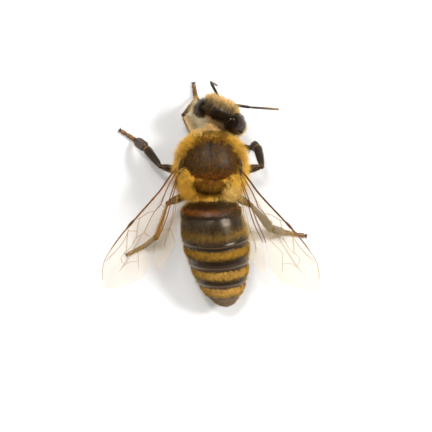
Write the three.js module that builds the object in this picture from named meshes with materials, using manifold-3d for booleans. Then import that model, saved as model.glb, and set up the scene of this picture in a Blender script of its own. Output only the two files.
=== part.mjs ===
// Western honey bee, a worker, life size, standing with its wings held out to the sides.
//
// Units are millimetres.  The head points along -Y, the bee's left side is +X, and the soles
// of the feet are at z = 0.  Positions are written from a point on the floor under the middle
// of the thorax; at the end the whole insect is moved so that its footprint is centred on the
// origin.  The solids reach out to the tips of the coat.

import * as THREE from "three";
import { mergeVertices } from "three/addons/utils/BufferGeometryUtils.js";
import Module from "manifold-3d";

const wasm = await Module();
wasm.setup();

// ---------------------------------------------------------------- driving dimensions

const GAP = 0.05; // thin cut between neighbouring parts
const WELD = 1e-4; // points nearer than this are one point
const DEGREE = Math.PI / 180;
const ELLIPSOID = 2; // the squareness of a plain ellipsoid; more is boxier

// Facets are counted round each rounded solid and from its top to its bottom.

const THORAX = {
  centre: [0, 0.44, 3.2],
  half: [2.6, 2.4, 1.95],
  squareness: 2.25,
  facets: [26, 14],
};
const SCUTELLUM = { centre: [0, 1.85, 4.25], half: [0.95, 0.5, 0.5], facets: [12, 8] };
const NECK = { centre: [-0.05, -2.25, 3.0], half: [0.8, 0.55, 0.7], facets: [12, 8] };
const TEGULA = { centre: [1.95, 0.15, 4.3], half: [0.36, 0.48, 0.3], facets: [10, 6] };

const HEAD = {
  centre: [-0.68, -3.17, 3.05],
  half: [1.45, 0.88, 1.65],
  squareness: 2.4,
  facets: [20, 12],
  yaw: -25.5, // turned to the bee's right
  roll: 13, // its right eye raised
  pitch: 8, // the face looks slightly down
};
const EYE = {
  centre: [1.24, 0.26, 0.12],
  half: [0.66, 0.74, 1.18],
  squareness: 2.1,
  facets: [14, 10],
  lean: 14,
};
const MANDIBLE = {
  centre: [0.34, -0.4, -1.5],
  half: [0.36, 0.28, 0.4],
  facets: [8, 6],
  lean: 18,
};
const PROBOSCIS = { centre: [0, 0.42, -1.58], half: [0.32, 0.7, 0.26], facets: [8, 6] };

// Stations along the abdomen from its waist: half width of the coat at each.
const ABDOMEN = {
  waist: [0.12, 2.72, 3.05],
  yaw: 9, // the tip swings to the bee's right
  pitch: 10, // the tip is carried lower than the waist
  profile: [
    [0, 0.5],
    [0.2, 1.4],
    [0.7, 2.0],
    [1.5, 2.2],
    [3.1, 2.34],
    [4.5, 2.14],
    [5.6, 1.86],
    [6.3, 1.55],
    [7.0, 1.0],
    [7.4, 0.5],
    [7.55, 0.12],
  ],
  rims: [1.3, 3.1, 4.5, 5.95, 6.8, 7.55], // hind edge of each ring
  backHeight: 0.84, // height over half width, above the axis
  bellyHeight: 0.74, // the same, below it
  tuck: 0.96, // each ring starts this much smaller, under the ring before it
  bow: 0.3, // how far the flanks of each ring lie ahead of its middle
  skew: 0.1, // how far the right flank lies behind the left, for each millimetre across
  widest: 2.3, // the half width at which the bow is measured
  sides: 26,
  waistRows: 6, // rows of facets along the first ring, which narrows to the waist
  rows: 3, // and along each of the others
  crowding: 1.3, // the rows crowd towards the front as this rises above 1
};
const HALVINGS = 30; // steps in the search for a station on the profile curve

const ANTENNA = {
  thickness: 0.5,
  scape: 1.5,
  flagellum: 2.4,
};
const ANTENNAE = {
  left: { socket: [-0.61, -4.1, 3.35], headings: [-61.5, 165], heights: [4.0, 1.65] },
  right: { socket: [-1.32, -3.76, 3.4], headings: [172, 178], heights: [3.8, 2.4] },
};

// Forewing and hindwing, laid flat: x runs from the hinge to the tip, y back from the hinge line.
const WING = {
  thickness: 0.5,
  fall: 0.19, // drop of the wing for each millimetre towards its tip
  droop: 0.06, // drop for each millimetre towards its trailing edge
  curveSteps: 3,
  fore: [
    [0.25, -0.2],
    [1.9, -0.17],
    [3.9, -0.47],
    [5.6, -0.7],
    [7.1, -0.8],
    [8.0, -0.73],
    [8.8, -0.4],
    [9.35, 0.02],
    [9.57, 0.4],
    [9.2, 1.0],
    [8.4, 1.7],
    [7.3, 2.2],
    [6.3, 2.08],
    [5.0, 1.5],
    [3.4, 1.22],
    [1.4, 0.62],
    [0.25, 0.3],
  ],
  hind: [
    [0.5, 0.42],
    [3.4, 1.27],
    [5.0, 1.55],
    [6.0, 2.1],
    [6.6, 2.6],
    [6.3, 2.86],
    [5.2, 2.9],
    [4.2, 2.7],
    [3.2, 2.22],
    [2.0, 1.5],
    [0.9, 0.82],
  ],
};
const HINGES = {
  left: { at: [2.33, 0.56, 4.05], sweep: 33.2 },
  right: { at: [-2.08, 0.78, 4.05], sweep: 34.8 },
};

// Lengths and widths of the four divisions of a leg.  The first takes in coxa, trochanter
// and femur, and the last the small tarsal joints with the claws.
const ANKLE_HEIGHT = 0.24;
const TOE_HEIGHT = 0.2;
const LIMB = ["femur", "tibia", "basitarsus", "tarsus"];
const LEG_SIZES = {
  fore: { length: [2.0, 1.5, 0.95, 1.0], width: [0.62, 0.52, 0.5, 0.5] },
  mid: { length: [2.42, 1.9, 1.5, 1.4], width: [0.68, 0.58, 0.72, 0.5] },
  hind: { length: [2.3, 2.65, 1.6, 1.53], width: [0.75, 1.02, 0.9, 0.5] },
};
const LIMB_THICKNESS = 0.5;
const LIMB_SIDES = 8;
const LIMB_ROWS = 2;
const LIMB_ENDS = [0.8, 0.9]; // widths of a division at its ends, over its greatest width
const LIMB_CAP = 0.9; // length of a limb's rounded end, over half its thickness

// Each leg: its hip, the heading of each division in the floor plane, and the height of the
// knee and of the hind end of the tibia.
const LEGS = {
  fore_left: { hip: [0.95, -1.4, 1.6], headings: [-62, -131, -70, -82], knee: 1.75, shin: 1.14 },
  fore_right: { hip: [-1.1, -1.3, 1.5], headings: [240, -44, 14, -6], knee: 1.35, shin: 0.55 },
  mid_left: { hip: [1.25, 0.95, 1.7], headings: [-14, -52, -37, -33], knee: 2.38, shin: 1.43 },
  mid_right: { hip: [-1.3, 0.85, 1.9], headings: [191, -78, 22, -10], knee: 2.85, shin: 1.7 },
  hind_left: { hip: [0.95, 2.05, 1.9], headings: [24, 71, 38, 27], knee: 2.55, shin: 1.42 },
  hind_right: { hip: [-0.95, 2.05, 1.9], headings: [150, 132, 166, 170], knee: 2.95, shin: 1.45 },
};

// Where the broad face of a division looks when it does not look up.
const FACES = {
  leg_hind_left_tibia: [0.95, -0.35, 0.25],
  leg_hind_left_basitarsus: [0.45, -0.8, 0.4],
  leg_hind_right_tibia: [-0.5, -0.5, 0.7],
  leg_hind_right_basitarsus: [-0.2, -0.6, 0.75],
};

// ---------------------------------------------------------------- materials

const COLOURS = {
  fur: "#b98a3a",
  darkFur: "#5a4326",
  shell: "#2c2119",
  legShell: "#33241a",
  footShell: "#7d4a1c",
  eye: "#171210",
  amber: "#8a5a26",
  membrane: "#e9dcb9",
};

function finish(colour, roughness) {
  return new THREE.MeshStandardMaterial({ color: colour, roughness, metalness: 0 });
}

const FUR_ROUGHNESS = 0.9;
const SHELL_ROUGHNESS = 0.35;
const furFinish = (colour) => finish(colour, FUR_ROUGHNESS);
const shellFinish = (colour) => finish(colour, SHELL_ROUGHNESS);

// ---------------------------------------------------------------- shaping tools

// Moves every vertex of a stock geometry to where the function puts it.
function reshape(geometry, place) {
  const points = geometry.attributes.position;
  const point = new THREE.Vector3();
  for (let i = 0; i < points.count; i += 1) {
    point.fromBufferAttribute(points, i);
    place(point);
    points.setXYZ(i, point.x, point.y, point.z);
  }
  return geometry;
}

// A ball drawn out to three half sizes, boxier as its squareness rises.
function blob({ half, squareness = ELLIPSOID, facets }) {
  return reshape(new THREE.SphereGeometry(1, ...facets), (point) => {
    const power =
      Math.abs(point.x) ** squareness +
      Math.abs(point.y) ** squareness +
      Math.abs(point.z) ** squareness;
    point.multiplyScalar(power ** (-1 / squareness));
    point.set(point.x * half[0], point.y * half[1], point.z * half[2]);
  });
}

// A limb with rounded ends along +Z, from the origin to its length.
function limbGeometry(length, width, thickness, ends) {
  const capsule = new THREE.CapsuleGeometry(1, 1, LIMB_ROWS, LIMB_SIDES, LIMB_ROWS);
  return reshape(capsule, (point) => {
    const along = THREE.MathUtils.clamp(point.y + 0.5, 0, 1);
    const beyond = point.y + 0.5 - along;
    const swell = Math.sin(Math.PI * along);
    const taper = THREE.MathUtils.lerp(ends[0], ends[1], along);
    const size = THREE.MathUtils.lerp(taper, 1, swell);
    const halfWidth = Math.max(width * size, thickness) / 2;
    const halfThickness = thickness / 2;
    const cap = halfThickness * LIMB_CAP;
    point.set(
      point.x * halfWidth,
      point.z * -halfThickness,
      cap + along * (length - 2 * cap) + beyond * cap,
    );
  });
}

function addMesh(group, name, geometry, material, position = [0, 0, 0]) {
  const mesh = new THREE.Mesh(geometry, material);
  mesh.name = name;
  mesh.position.set(...position);
  group.add(mesh);
  return mesh;
}

// The end of a limb that leaves a point on a heading and finishes at a height.
function limbEnd(start, length, heading, height) {
  const rise = height - start.z;
  const reach = Math.sqrt(length ** 2 - rise ** 2);
  const angle = heading * DEGREE;
  return new THREE.Vector3(
    start.x + reach * Math.cos(angle),
    start.y + reach * Math.sin(angle),
    height,
  );
}

// Turns a limb mesh so that it runs from one point to another with its broad face looking
// one way, or up if none is given.
function aim(mesh, from, to, face = [0, 0, 1]) {
  const along = to.clone().sub(from).normalize();
  const side = new THREE.Vector3(...face).cross(along).normalize();
  const upper = along.clone().cross(side);
  mesh.position.copy(from);
  mesh.quaternion.setFromRotationMatrix(new THREE.Matrix4().makeBasis(side, upper, along));
}

// ---------------------------------------------------------------- cuts

function toSolid(mesh, grow) {
  const bare = mesh.geometry.clone();
  bare.deleteAttribute("normal");
  bare.deleteAttribute("uv");
  const geometry = mergeVertices(bare, WELD);
  if (grow > 0) {
    geometry.computeVertexNormals();
    const points = geometry.attributes.position;
    const normals = geometry.attributes.normal;
    for (let i = 0; i < points.count; i += 1) {
      points.setXYZ(
        i,
        points.getX(i) + normals.getX(i) * grow,
        points.getY(i) + normals.getY(i) * grow,
        points.getZ(i) + normals.getZ(i) * grow,
      );
    }
  }
  geometry.applyMatrix4(mesh.matrixWorld);
  return new wasm.Manifold(
    new wasm.Mesh({
      numProp: 3,
      vertProperties: new Float32Array(geometry.attributes.position.array),
      triVerts: new Uint32Array(geometry.index.array),
    }),
  );
}

function fromSolid(solid, mesh) {
  const result = solid.getMesh();
  const geometry = new THREE.BufferGeometry();
  geometry.setAttribute("position", new THREE.BufferAttribute(result.vertProperties, 3));
  geometry.setIndex(new THREE.BufferAttribute(result.triVerts, 1));
  geometry.applyMatrix4(mesh.matrixWorld.clone().invert());
  geometry.computeVertexNormals();
  return geometry;
}

// Takes the neighbours, each with the gap around it, out of a mesh, and keeps the main piece.
function carve(mesh, neighbours) {
  let solid = toSolid(mesh, 0);
  for (const neighbour of neighbours) {
    solid = solid.subtract(toSolid(neighbour, GAP));
  }
  const pieces = solid.decompose().sort((a, b) => b.volume() - a.volume());
  mesh.geometry = fromSolid(pieces[0], mesh);
}

// Cuts off what lies below the floor, which leaves a flat sole.
function flattenSole(mesh) {
  const solid = toSolid(mesh, 0).trimByPlane([0, 0, 1], 0);
  mesh.geometry = fromSolid(solid, mesh);
}

// ---------------------------------------------------------------- parts of the bee

function thoraxParts(bee) {
  const thorax = addMesh(
    bee,
    "thorax",
    blob(THORAX),
    furFinish(COLOURS.fur),
    THORAX.centre,
  );
  const scutellum = addMesh(
    bee,
    "scutellum",
    blob(SCUTELLUM),
    furFinish(COLOURS.darkFur),
    SCUTELLUM.centre,
  );
  const neck = addMesh(
    bee,
    "neck",
    blob(NECK),
    furFinish(COLOURS.fur),
    NECK.centre,
  );
  const tegulae = ["left", "right"].map((side) => {
    const mirror = side === "left" ? 1 : -1;
    const [x, y, z] = TEGULA.centre;
    return addMesh(
      bee,
      `tegula_${side}`,
      blob(TEGULA),
      shellFinish(COLOURS.amber),
      [mirror * x, y, z],
    );
  });
  return { thorax, scutellum, neck, tegulae };
}

function headParts(bee) {
  const group = new THREE.Group();
  group.position.set(...HEAD.centre);
  group.rotation.order = "ZYX";
  group.rotation.set(HEAD.pitch * DEGREE, HEAD.roll * DEGREE, HEAD.yaw * DEGREE);
  bee.add(group);

  const head = addMesh(
    group,
    "head",
    blob(HEAD),
    furFinish(COLOURS.darkFur),
  );
  const proboscis = addMesh(
    group,
    "proboscis",
    blob(PROBOSCIS),
    shellFinish(COLOURS.amber),
    PROBOSCIS.centre,
  );
  const eyes = [];
  const mandibles = [];
  for (const [side, mirror] of [["left", 1], ["right", -1]]) {
    const [eyeX, eyeY, eyeZ] = EYE.centre;
    const eye = addMesh(
      group,
      `eye_${side}`,
      blob(EYE),
      shellFinish(COLOURS.eye),
      [mirror * eyeX, eyeY, eyeZ],
    );
    eye.rotation.y = -mirror * EYE.lean * DEGREE;
    eyes.push(eye);
    const [x, y, z] = MANDIBLE.centre;
    const mandible = addMesh(
      group,
      `mandible_${side}`,
      blob(MANDIBLE),
      shellFinish(COLOURS.footShell),
      [mirror * x, y, z],
    );
    mandible.rotation.y = mirror * MANDIBLE.lean * DEGREE;
    mandibles.push(mandible);
  }
  return { head, proboscis, eyes, mandibles };
}

function antennaParts(bee, side) {
  const { socket, headings, heights } = ANTENNAE[side];
  const names = ["scape", "flagellum"];
  let start = new THREE.Vector3(...socket);
  return names.map((name, i) => {
    const length = ANTENNA[name];
    const end = limbEnd(start, length, headings[i], heights[i]);
    const geometry = limbGeometry(length, ANTENNA.thickness, ANTENNA.thickness, [1, 1]);
    const mesh = addMesh(bee, `antenna_${side}_${name}`, geometry, shellFinish(COLOURS.shell));
    aim(mesh, start, end);
    start = end;
    return mesh;
  });
}

const abdomenProfile = new THREE.SplineCurve(
  ABDOMEN.profile.map(([station, half]) => new THREE.Vector2(station, half)),
);

// Half width of the abdomen at a station, found on the profile curve by halving.
function abdomenHalfWidth(station) {
  let low = 0;
  let high = 1;
  for (let i = 0; i < HALVINGS; i += 1) {
    const middle = (low + high) / 2;
    if (abdomenProfile.getPoint(middle).x < station) {
      low = middle;
    } else {
      high = middle;
    }
  }
  return abdomenProfile.getPoint(low).y;
}

function abdomenRing(index) {
  const rows = index === 0 ? ABDOMEN.waistRows : ABDOMEN.rows;
  const first = index === 0 ? 0 : ABDOMEN.rims[index - 1] + GAP;
  const last = ABDOMEN.rims[index];
  return reshape(new THREE.CylinderGeometry(1, 1, 1, ABDOMEN.sides, rows), (point) => {
    const along = point.y + 0.5;
    const station = first + along ** ABDOMEN.crowding * (last - first);
    const start = index === 0 ? 1 : ABDOMEN.tuck;
    const half = abdomenHalfWidth(station) * THREE.MathUtils.lerp(start, 1, along);
    const height = point.z > 0 ? ABDOMEN.backHeight : ABDOMEN.bellyHeight;
    const across = point.x * half;
    const lead = ABDOMEN.bow * (across / ABDOMEN.widest) ** 2 + ABDOMEN.skew * across;
    point.set(across, station - lead, point.z * half * height);
  });
}

function abdomenParts(bee) {
  const group = new THREE.Group();
  group.position.set(...ABDOMEN.waist);
  group.rotation.order = "ZYX";
  group.rotation.set(-ABDOMEN.pitch * DEGREE, 0, ABDOMEN.yaw * DEGREE);
  bee.add(group);
  return ABDOMEN.rims.map((rim, index) => {
    const material = furFinish(index % 2 === 0 ? COLOURS.darkFur : COLOURS.fur);
    return addMesh(group, `abdomen_${index + 1}`, abdomenRing(index), material);
  });
}

function wingPlate(outline, mirror) {
  const points = outline.map(([x, y]) => new THREE.Vector2(x, y * mirror));
  const shape = new THREE.Shape();
  shape.moveTo(points[0].x, points[0].y);
  shape.splineThru(points.slice(1));
  shape.closePath();
  const plate = new THREE.ExtrudeGeometry(shape, {
    depth: WING.thickness,
    bevelEnabled: false,
    curveSegments: WING.curveSteps,
  });
  return reshape(plate, (point) => {
    point.z -= WING.thickness / 2 + point.x * WING.fall + point.y * mirror * WING.droop;
  });
}

function wingParts(bee, side) {
  const { at, sweep } = HINGES[side];
  const mirror = side === "left" ? 1 : -1;
  const group = new THREE.Group();
  group.position.set(...at);
  group.rotation.z = (90 - mirror * sweep) * DEGREE;
  bee.add(group);
  const material = shellFinish(COLOURS.membrane);
  const forewing = addMesh(group, `forewing_${side}`, wingPlate(WING.fore, mirror), material);
  const hindwing = addMesh(
    group,
    `hindwing_${side}`,
    wingPlate(WING.hind, mirror),
    material.clone(),
  );
  return { forewing, hindwing };
}

function legParts(bee, name) {
  const { hip, headings, knee, shin } = LEGS[name];
  const { length, width } = LEG_SIZES[name.split("_")[0]];
  const heights = [knee, shin, ANKLE_HEIGHT, TOE_HEIGHT];
  let start = new THREE.Vector3(...hip);
  return LIMB.map((division, i) => {
    const end = limbEnd(start, length[i], headings[i], heights[i]);
    const geometry = limbGeometry(length[i], width[i], LIMB_THICKNESS, LIMB_ENDS);
    const colour = division === "tarsus" ? COLOURS.footShell : COLOURS.legShell;
    const mesh = addMesh(bee, `leg_${name}_${division}`, geometry, shellFinish(colour));
    aim(mesh, start, end, FACES[mesh.name]);
    start = end;
    return mesh;
  });
}

// ---------------------------------------------------------------- the whole bee

function honeyBee() {
  const bee = new THREE.Group();
  const { thorax, scutellum, neck, tegulae } = thoraxParts(bee);
  const { head, proboscis, eyes, mandibles } = headParts(bee);
  const antennae = ["left", "right"].map((side) => antennaParts(bee, side));
  const rings = abdomenParts(bee);
  const wings = ["left", "right"].map((side) => wingParts(bee, side));
  const legs = Object.keys(LEGS).map((name) => legParts(bee, name));
  bee.updateMatrixWorld(true);

  for (const leg of legs) {
    leg.forEach((division, i) => {
      if (i === LIMB.length - 1) {
        flattenSole(division);
      }
      const before = i > 0 ? [leg[i - 1]] : [thorax, rings[0]];
      carve(division, before);
    });
  }
  for (const [scape, flagellum] of antennae) {
    carve(flagellum, [scape]);
    carve(scape, [head]);
  }
  for (const { forewing, hindwing } of wings) {
    carve(hindwing, [forewing, thorax, ...rings]);
    carve(forewing, [thorax, ...tegulae]);
  }
  carve(rings[0], [thorax]);
  carve(neck, [head, thorax]);
  carve(thorax, [scutellum, ...tegulae]);
  carve(head, [...eyes, ...mandibles, proboscis]);
  return bee;
}

// Moves the insect so that its bounding box is centred over the origin and stands at z = 0.
function centreOnFootprint(bee) {
  const box = new THREE.Box3().setFromObject(bee, true);
  const middle = box.getCenter(new THREE.Vector3());
  bee.position.set(-middle.x, -middle.y, -box.min.z);
}

const bee = honeyBee();
centreOnFootprint(bee);
bee.updateMatrixWorld(true);

export default bee;
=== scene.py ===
import math
import bpy
import numpy as np
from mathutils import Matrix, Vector


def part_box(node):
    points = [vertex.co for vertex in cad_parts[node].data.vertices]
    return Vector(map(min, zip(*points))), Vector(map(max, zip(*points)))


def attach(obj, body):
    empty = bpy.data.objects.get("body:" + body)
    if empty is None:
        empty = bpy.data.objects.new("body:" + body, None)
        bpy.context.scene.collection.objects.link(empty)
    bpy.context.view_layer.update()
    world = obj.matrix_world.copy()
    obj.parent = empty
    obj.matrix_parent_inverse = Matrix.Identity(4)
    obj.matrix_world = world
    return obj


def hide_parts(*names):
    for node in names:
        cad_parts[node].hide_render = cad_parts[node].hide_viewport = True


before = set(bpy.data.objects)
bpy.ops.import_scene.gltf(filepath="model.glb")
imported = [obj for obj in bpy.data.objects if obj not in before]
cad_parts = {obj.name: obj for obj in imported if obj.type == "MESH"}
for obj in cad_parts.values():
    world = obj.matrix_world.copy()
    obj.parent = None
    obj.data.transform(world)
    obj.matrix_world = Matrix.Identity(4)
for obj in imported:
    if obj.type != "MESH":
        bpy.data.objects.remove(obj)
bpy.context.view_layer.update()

# A worker of the western honey bee, life size, in the coat and colours of a museum model.
# Shapes are written in millimetres in the same body frame as the solids: the head points
# along -Y, the bee's left is +X, and the floor is z = 0 under the middle of the thorax.

MM = 0.001
TAU = 2 * math.pi
THORAX_CENTRE = np.array([0.0, 0.44, 0.0])
thorax_low, thorax_high = (np.array(corner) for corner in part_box("thorax"))
SHIFT = (thorax_low + thorax_high) / 2 / MM * [1, 1, 0] - THORAX_CENTRE
SIDES = (("left", 1), ("right", -1))


# ---------------------------------------------------------------- numbers and vectors

def srgb(red, green, blue):
    """A colour written in screen values from 0 to 255, as linear light."""
    c = np.array([red, green, blue]) / 255
    return np.where(c <= 0.04045, c / 12.92, ((c + 0.055) / 1.055) ** 2.4)


def unit(v):
    return v / np.maximum(np.linalg.norm(v, axis=-1, keepdims=True), 1e-12)


def ramp(x, low, high):
    """Smooth step from 0 at low to 1 at high."""
    t = np.clip((np.asarray(x, float) - low) / (high - low), 0, 1)
    return t * t * (3 - 2 * t)


def fall(x, low, high):
    """Smooth step from 1 at low to 0 at high."""
    return ramp(-np.asarray(x), -high, -low)


def hump(x, centre, width):
    """A bell that is 1 at its centre."""
    return np.exp(-(((x - centre) / width) ** 2))


def split(points):
    """The coordinates of points as separate arrays."""
    return np.moveaxis(points, -1, 0)


def blend(a, b, share):
    """From a at a share of 0 to b at a share of 1."""
    share = np.asarray(share, float)[..., None]
    return np.asarray(a) * (1 - share) + np.asarray(b) * share


def layered(tint, *layers):
    """Lays colours over a tint one after another, each by its own share."""
    for colour, share in layers:
        tint = blend(tint, colour, share)
    return tint


def flow(x, knots, values):
    """A smooth curve through the values, flat where they turn, for any x."""
    knots, values = np.asarray(knots, float), np.asarray(values, float)
    steps = np.diff(values) / np.diff(knots)
    slopes = np.empty_like(values)
    slopes[0], slopes[-1] = steps[0], steps[-1]
    left, right = steps[:-1], steps[1:]
    slopes[1:-1] = np.where(left * right > 0, 2 * left * right / (left + right + 1e-15), 0)
    x = np.clip(x, knots[0], knots[-1])
    i = np.clip(np.searchsorted(knots, x) - 1, 0, len(knots) - 2)
    width = knots[i + 1] - knots[i]
    t = (x - knots[i]) / width
    return (
        values[i] * (1 + 2 * t) * (1 - t) ** 2
        + values[i + 1] * t * t * (3 - 2 * t)
        + width * (slopes[i] * t * (1 - t) ** 2 - slopes[i + 1] * t * t * (1 - t))
    )


def mottle(points, size, seed):
    """Soft noise between about -1 and 1, with patches of the given size, for any points."""
    rng = np.random.default_rng(seed)
    total = np.zeros(points.shape[:-1])
    for octave in range(3):
        for _ in range(5):
            heading = unit(rng.normal(size=3)) * TAU / size * 1.7**octave
            total += np.sin(points @ heading + rng.uniform(0, TAU)) * 0.62**octave
    return total / 3


def turn(axis, degrees):
    """The matrix of a turn about an axis."""
    c, s = math.cos(math.radians(degrees)), math.sin(math.radians(degrees))
    return np.array({
        "x": [[1, 0, 0], [0, c, -s], [0, s, c]],
        "y": [[c, 0, s], [0, 1, 0], [-s, 0, c]],
        "z": [[c, -s, 0], [s, c, 0], [0, 0, 1]],
    }[axis], float)


class Frame:
    """A turned and moved set of axes, such as the head's or a wing's."""

    def __init__(self, origin, turned):
        self.origin, self.turned = np.array(origin, float), turned

    def out(self, points):
        return np.asarray(points) @ self.turned.T + self.origin

    def back(self, points):
        return (np.asarray(points) - self.origin) @ self.turned


def smooth_path(points, count):
    """Evenly spaced points on a smooth curve through the given ones."""
    points = np.array(points, float)
    knots = np.concatenate([[0], np.cumsum(np.linalg.norm(np.diff(points, axis=0), axis=1))])
    x = np.linspace(0, knots[-1], count)
    ends = np.vstack([2 * points[0] - points[1], points, 2 * points[-1] - points[-2]])
    i = np.clip(np.searchsorted(knots, x, side="right") - 1, 0, len(points) - 2)
    t = ((x - knots[i]) / (knots[i + 1] - knots[i]))[:, None]
    a, b, c, d = ends[i], ends[i + 1], ends[i + 2], ends[i + 3]
    bow, twist = 2 * a - 5 * b + 4 * c - d, 3 * b - a - 3 * c + d
    return 0.5 * (2 * b + (c - a) * t + bow * t**2 + twist * t**3)


# ---------------------------------------------------------------- meshes

class Rings:
    """A surface of closed rings, with the normals, stations and angles of its points."""

    def __init__(self, points, stations=None):
        self.points = np.asarray(points, float)
        n, m = self.points.shape[:2]
        if stations is None:
            stations = np.arange(n, dtype=float)
        self.stations = np.broadcast_to(np.asarray(stations)[:, None], (n, m))
        self.angles = np.broadcast_to(np.arange(m) / m * TAU, (n, m))
        along = np.gradient(self.points, axis=0)
        around = (np.roll(self.points, -1, 1) - np.roll(self.points, 1, 1)) / 2
        normal = np.cross(around, along)
        outward = self.points - self.points.mean(axis=1, keepdims=True)
        if (normal * outward).sum() < 0:
            normal = -normal
        self.normals = unit(normal)
        self.area = np.linalg.norm(normal, axis=-1)


class Roots:
    """Places on a surface of rings where hairs are rooted; density is a function of the rings."""

    def __init__(self, rings, count, density, rng):
        n, m = rings.points.shape[:2]
        weight = np.clip((rings.area * density(rings))[:-1], 0, None).ravel()
        pick = rng.choice(weight.size, size=count, p=weight / weight.sum())
        i, j = pick // m, pick % m
        fu, fv = rng.random(count), rng.random(count)

        def mixed(grid):
            extra = (slice(None),) + (None,) * (grid.ndim - 2)
            a, b = fu[extra], fv[extra]
            k = (j + 1) % m
            return (grid[i, j] * (1 - a) * (1 - b) + grid[i + 1, j] * a * (1 - b)
                    + grid[i, k] * (1 - a) * b + grid[i + 1, k] * a * b)

        self.points, self.normals = mixed(rings.points), unit(mixed(rings.normals))
        self.stations = mixed(rings.stations)
        self.angles = (j + fv) / m * TAU
        self.map = np.stack([(i + fu) / (n - 1), (j + fv) / m], axis=1)
        self.count = count


class Solid:
    """Gathers closed surfaces into one mesh."""

    def __init__(self):
        self.points, self.tints, self.faces, self.total = [], [], [], 0

    def add(self, rings, tint):
        """Closes a tube of rings with a fan at each end; tint is one colour or one a point."""
        points = rings.points if isinstance(rings, Rings) else np.asarray(rings, float)
        n, m = points.shape[:2]
        tint = np.broadcast_to(np.asarray(tint, float), (n, m, 3))
        i, j = np.arange(n - 1)[:, None] * m, np.arange(m)[None, :]
        k = (j + 1) % m
        quads = np.stack([i + j, i + k, i + m + k, i + m + j], -1).reshape(-1, 4)
        flat = np.vstack([points.reshape(-1, 3), points[0].mean(0), points[-1].mean(0)])
        tints = np.vstack([tint.reshape(-1, 3), tint[0].mean(0), tint[-1].mean(0)])
        last = (n - 1) * m
        start = np.stack([np.full(m, n * m), k[0], j[0]], -1)
        end = np.stack([np.full(m, n * m + 1), last + j[0], last + k[0]], -1)
        tris = np.vstack([start, end, quads[:, [0, 1, 2]], quads[:, [0, 2, 3]]])
        a, b, c = (flat[tris[:, q]] - flat.mean(0) for q in range(3))
        outward = (a * np.cross(b, c)).sum() > 0
        for faces in (quads, start, end):
            faces = (faces if outward else faces[:, ::-1]) + self.total
            self.faces.extend(faces.tolist())
        self.points.append(flat)
        self.tints.append(tints)
        self.total += len(flat)
        return self


def piece(name, points, faces, tints, material, nodes=(), uvs=None, normals=None):
    """Makes the mesh object in metres, hangs it under the root body and hides the parts it stands
    for.
    """
    mesh = bpy.data.meshes.new(name)
    mesh.from_pydata(((points + SHIFT) * MM).tolist(), [], faces)
    mesh.polygons.foreach_set("use_smooth", np.ones(len(mesh.polygons), bool))
    colours = mesh.color_attributes.new(name="tint", type="FLOAT_COLOR", domain="POINT")
    tints = np.maximum(tints, 0) / np.maximum(tints.max(axis=1, keepdims=True), 1)
    rgba = np.concatenate([tints, np.ones((len(tints), 1))], axis=1)
    colours.data.foreach_set("color", rgba.ravel())
    if uvs is not None:
        layer = mesh.uv_layers.new(name="OFBake")
        layer.data.foreach_set("uv", np.asarray(uvs, float).ravel())
    mesh.materials.append(material)
    mesh.update()
    if normals is not None:
        mesh.normals_split_custom_set_from_vertices(normals.tolist())
    made = bpy.data.objects.new(name, mesh)
    bpy.context.scene.collection.objects.link(made)
    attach(made, "root")
    if nodes:
        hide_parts(*nodes)


def finish_solid(solid, name, material, nodes=()):
    """A piece of closed surfaces, without a coat's map or its own shading."""
    piece(name, np.vstack(solid.points), solid.faces, np.vstack(solid.tints), material, nodes)


def superellipse(angle, power):
    """Cosine and sine of a rounded square: 2 is a circle, more is boxier."""
    c, s = np.cos(angle), np.sin(angle)
    size = (np.abs(c) ** power + np.abs(s) ** power) ** (-1 / power)
    return c * size, s * size


def tube(path, radii, sides=10, flatness=1.0, up=(0, 0, 1)):
    """Rings round a path. radii is one or one for each point; flatness is height over width."""
    path = np.asarray(path, float)
    ahead = unit(np.gradient(path, axis=0))
    side = unit(np.cross(np.asarray(up, float), ahead))
    top = np.cross(ahead, side)
    radii = np.broadcast_to(np.asarray(radii, float), (len(path),))[:, None, None]
    flatness = np.broadcast_to(np.asarray(flatness, float), (len(path),))[:, None, None]
    angle = np.arange(sides) / sides * TAU
    c, s = np.cos(angle)[None, :, None], np.sin(angle)[None, :, None]
    return path[:, None] + radii * (c * side[:, None] + flatness * s * top[:, None])


def ball(centre, half, power=2.0, rows=16, sides=24, turned=None):
    """A closed blob whose poles are on its own z axis."""
    latitude = np.linspace(-0.5, 0.5, rows + 2)[1:-1] * math.pi
    angle = np.arange(sides) / sides * TAU
    c, s = superellipse(latitude, power)
    x, y = superellipse(angle, power)
    points = np.stack([np.outer(c, x), np.outer(c, y), np.outer(s, np.ones(sides))], -1) * half
    if turned is not None:
        points = points @ turned.T
    return points + np.asarray(centre, float)


# ---------------------------------------------------------------- materials

LACQUER = 0.12  # roughness of the clear coat


def add_node(tree, kind, **settings):
    """A new shader node with its own settings."""
    new = tree.nodes.new(kind)
    for key, value in settings.items():
        setattr(new, key, value)
    return new


def settle(node, **values):
    """Sets inputs of a shader node; a name's spaces are written as _."""
    for name, value in values.items():
        node.inputs[name.replace("_", " ")].default_value = value


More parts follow.
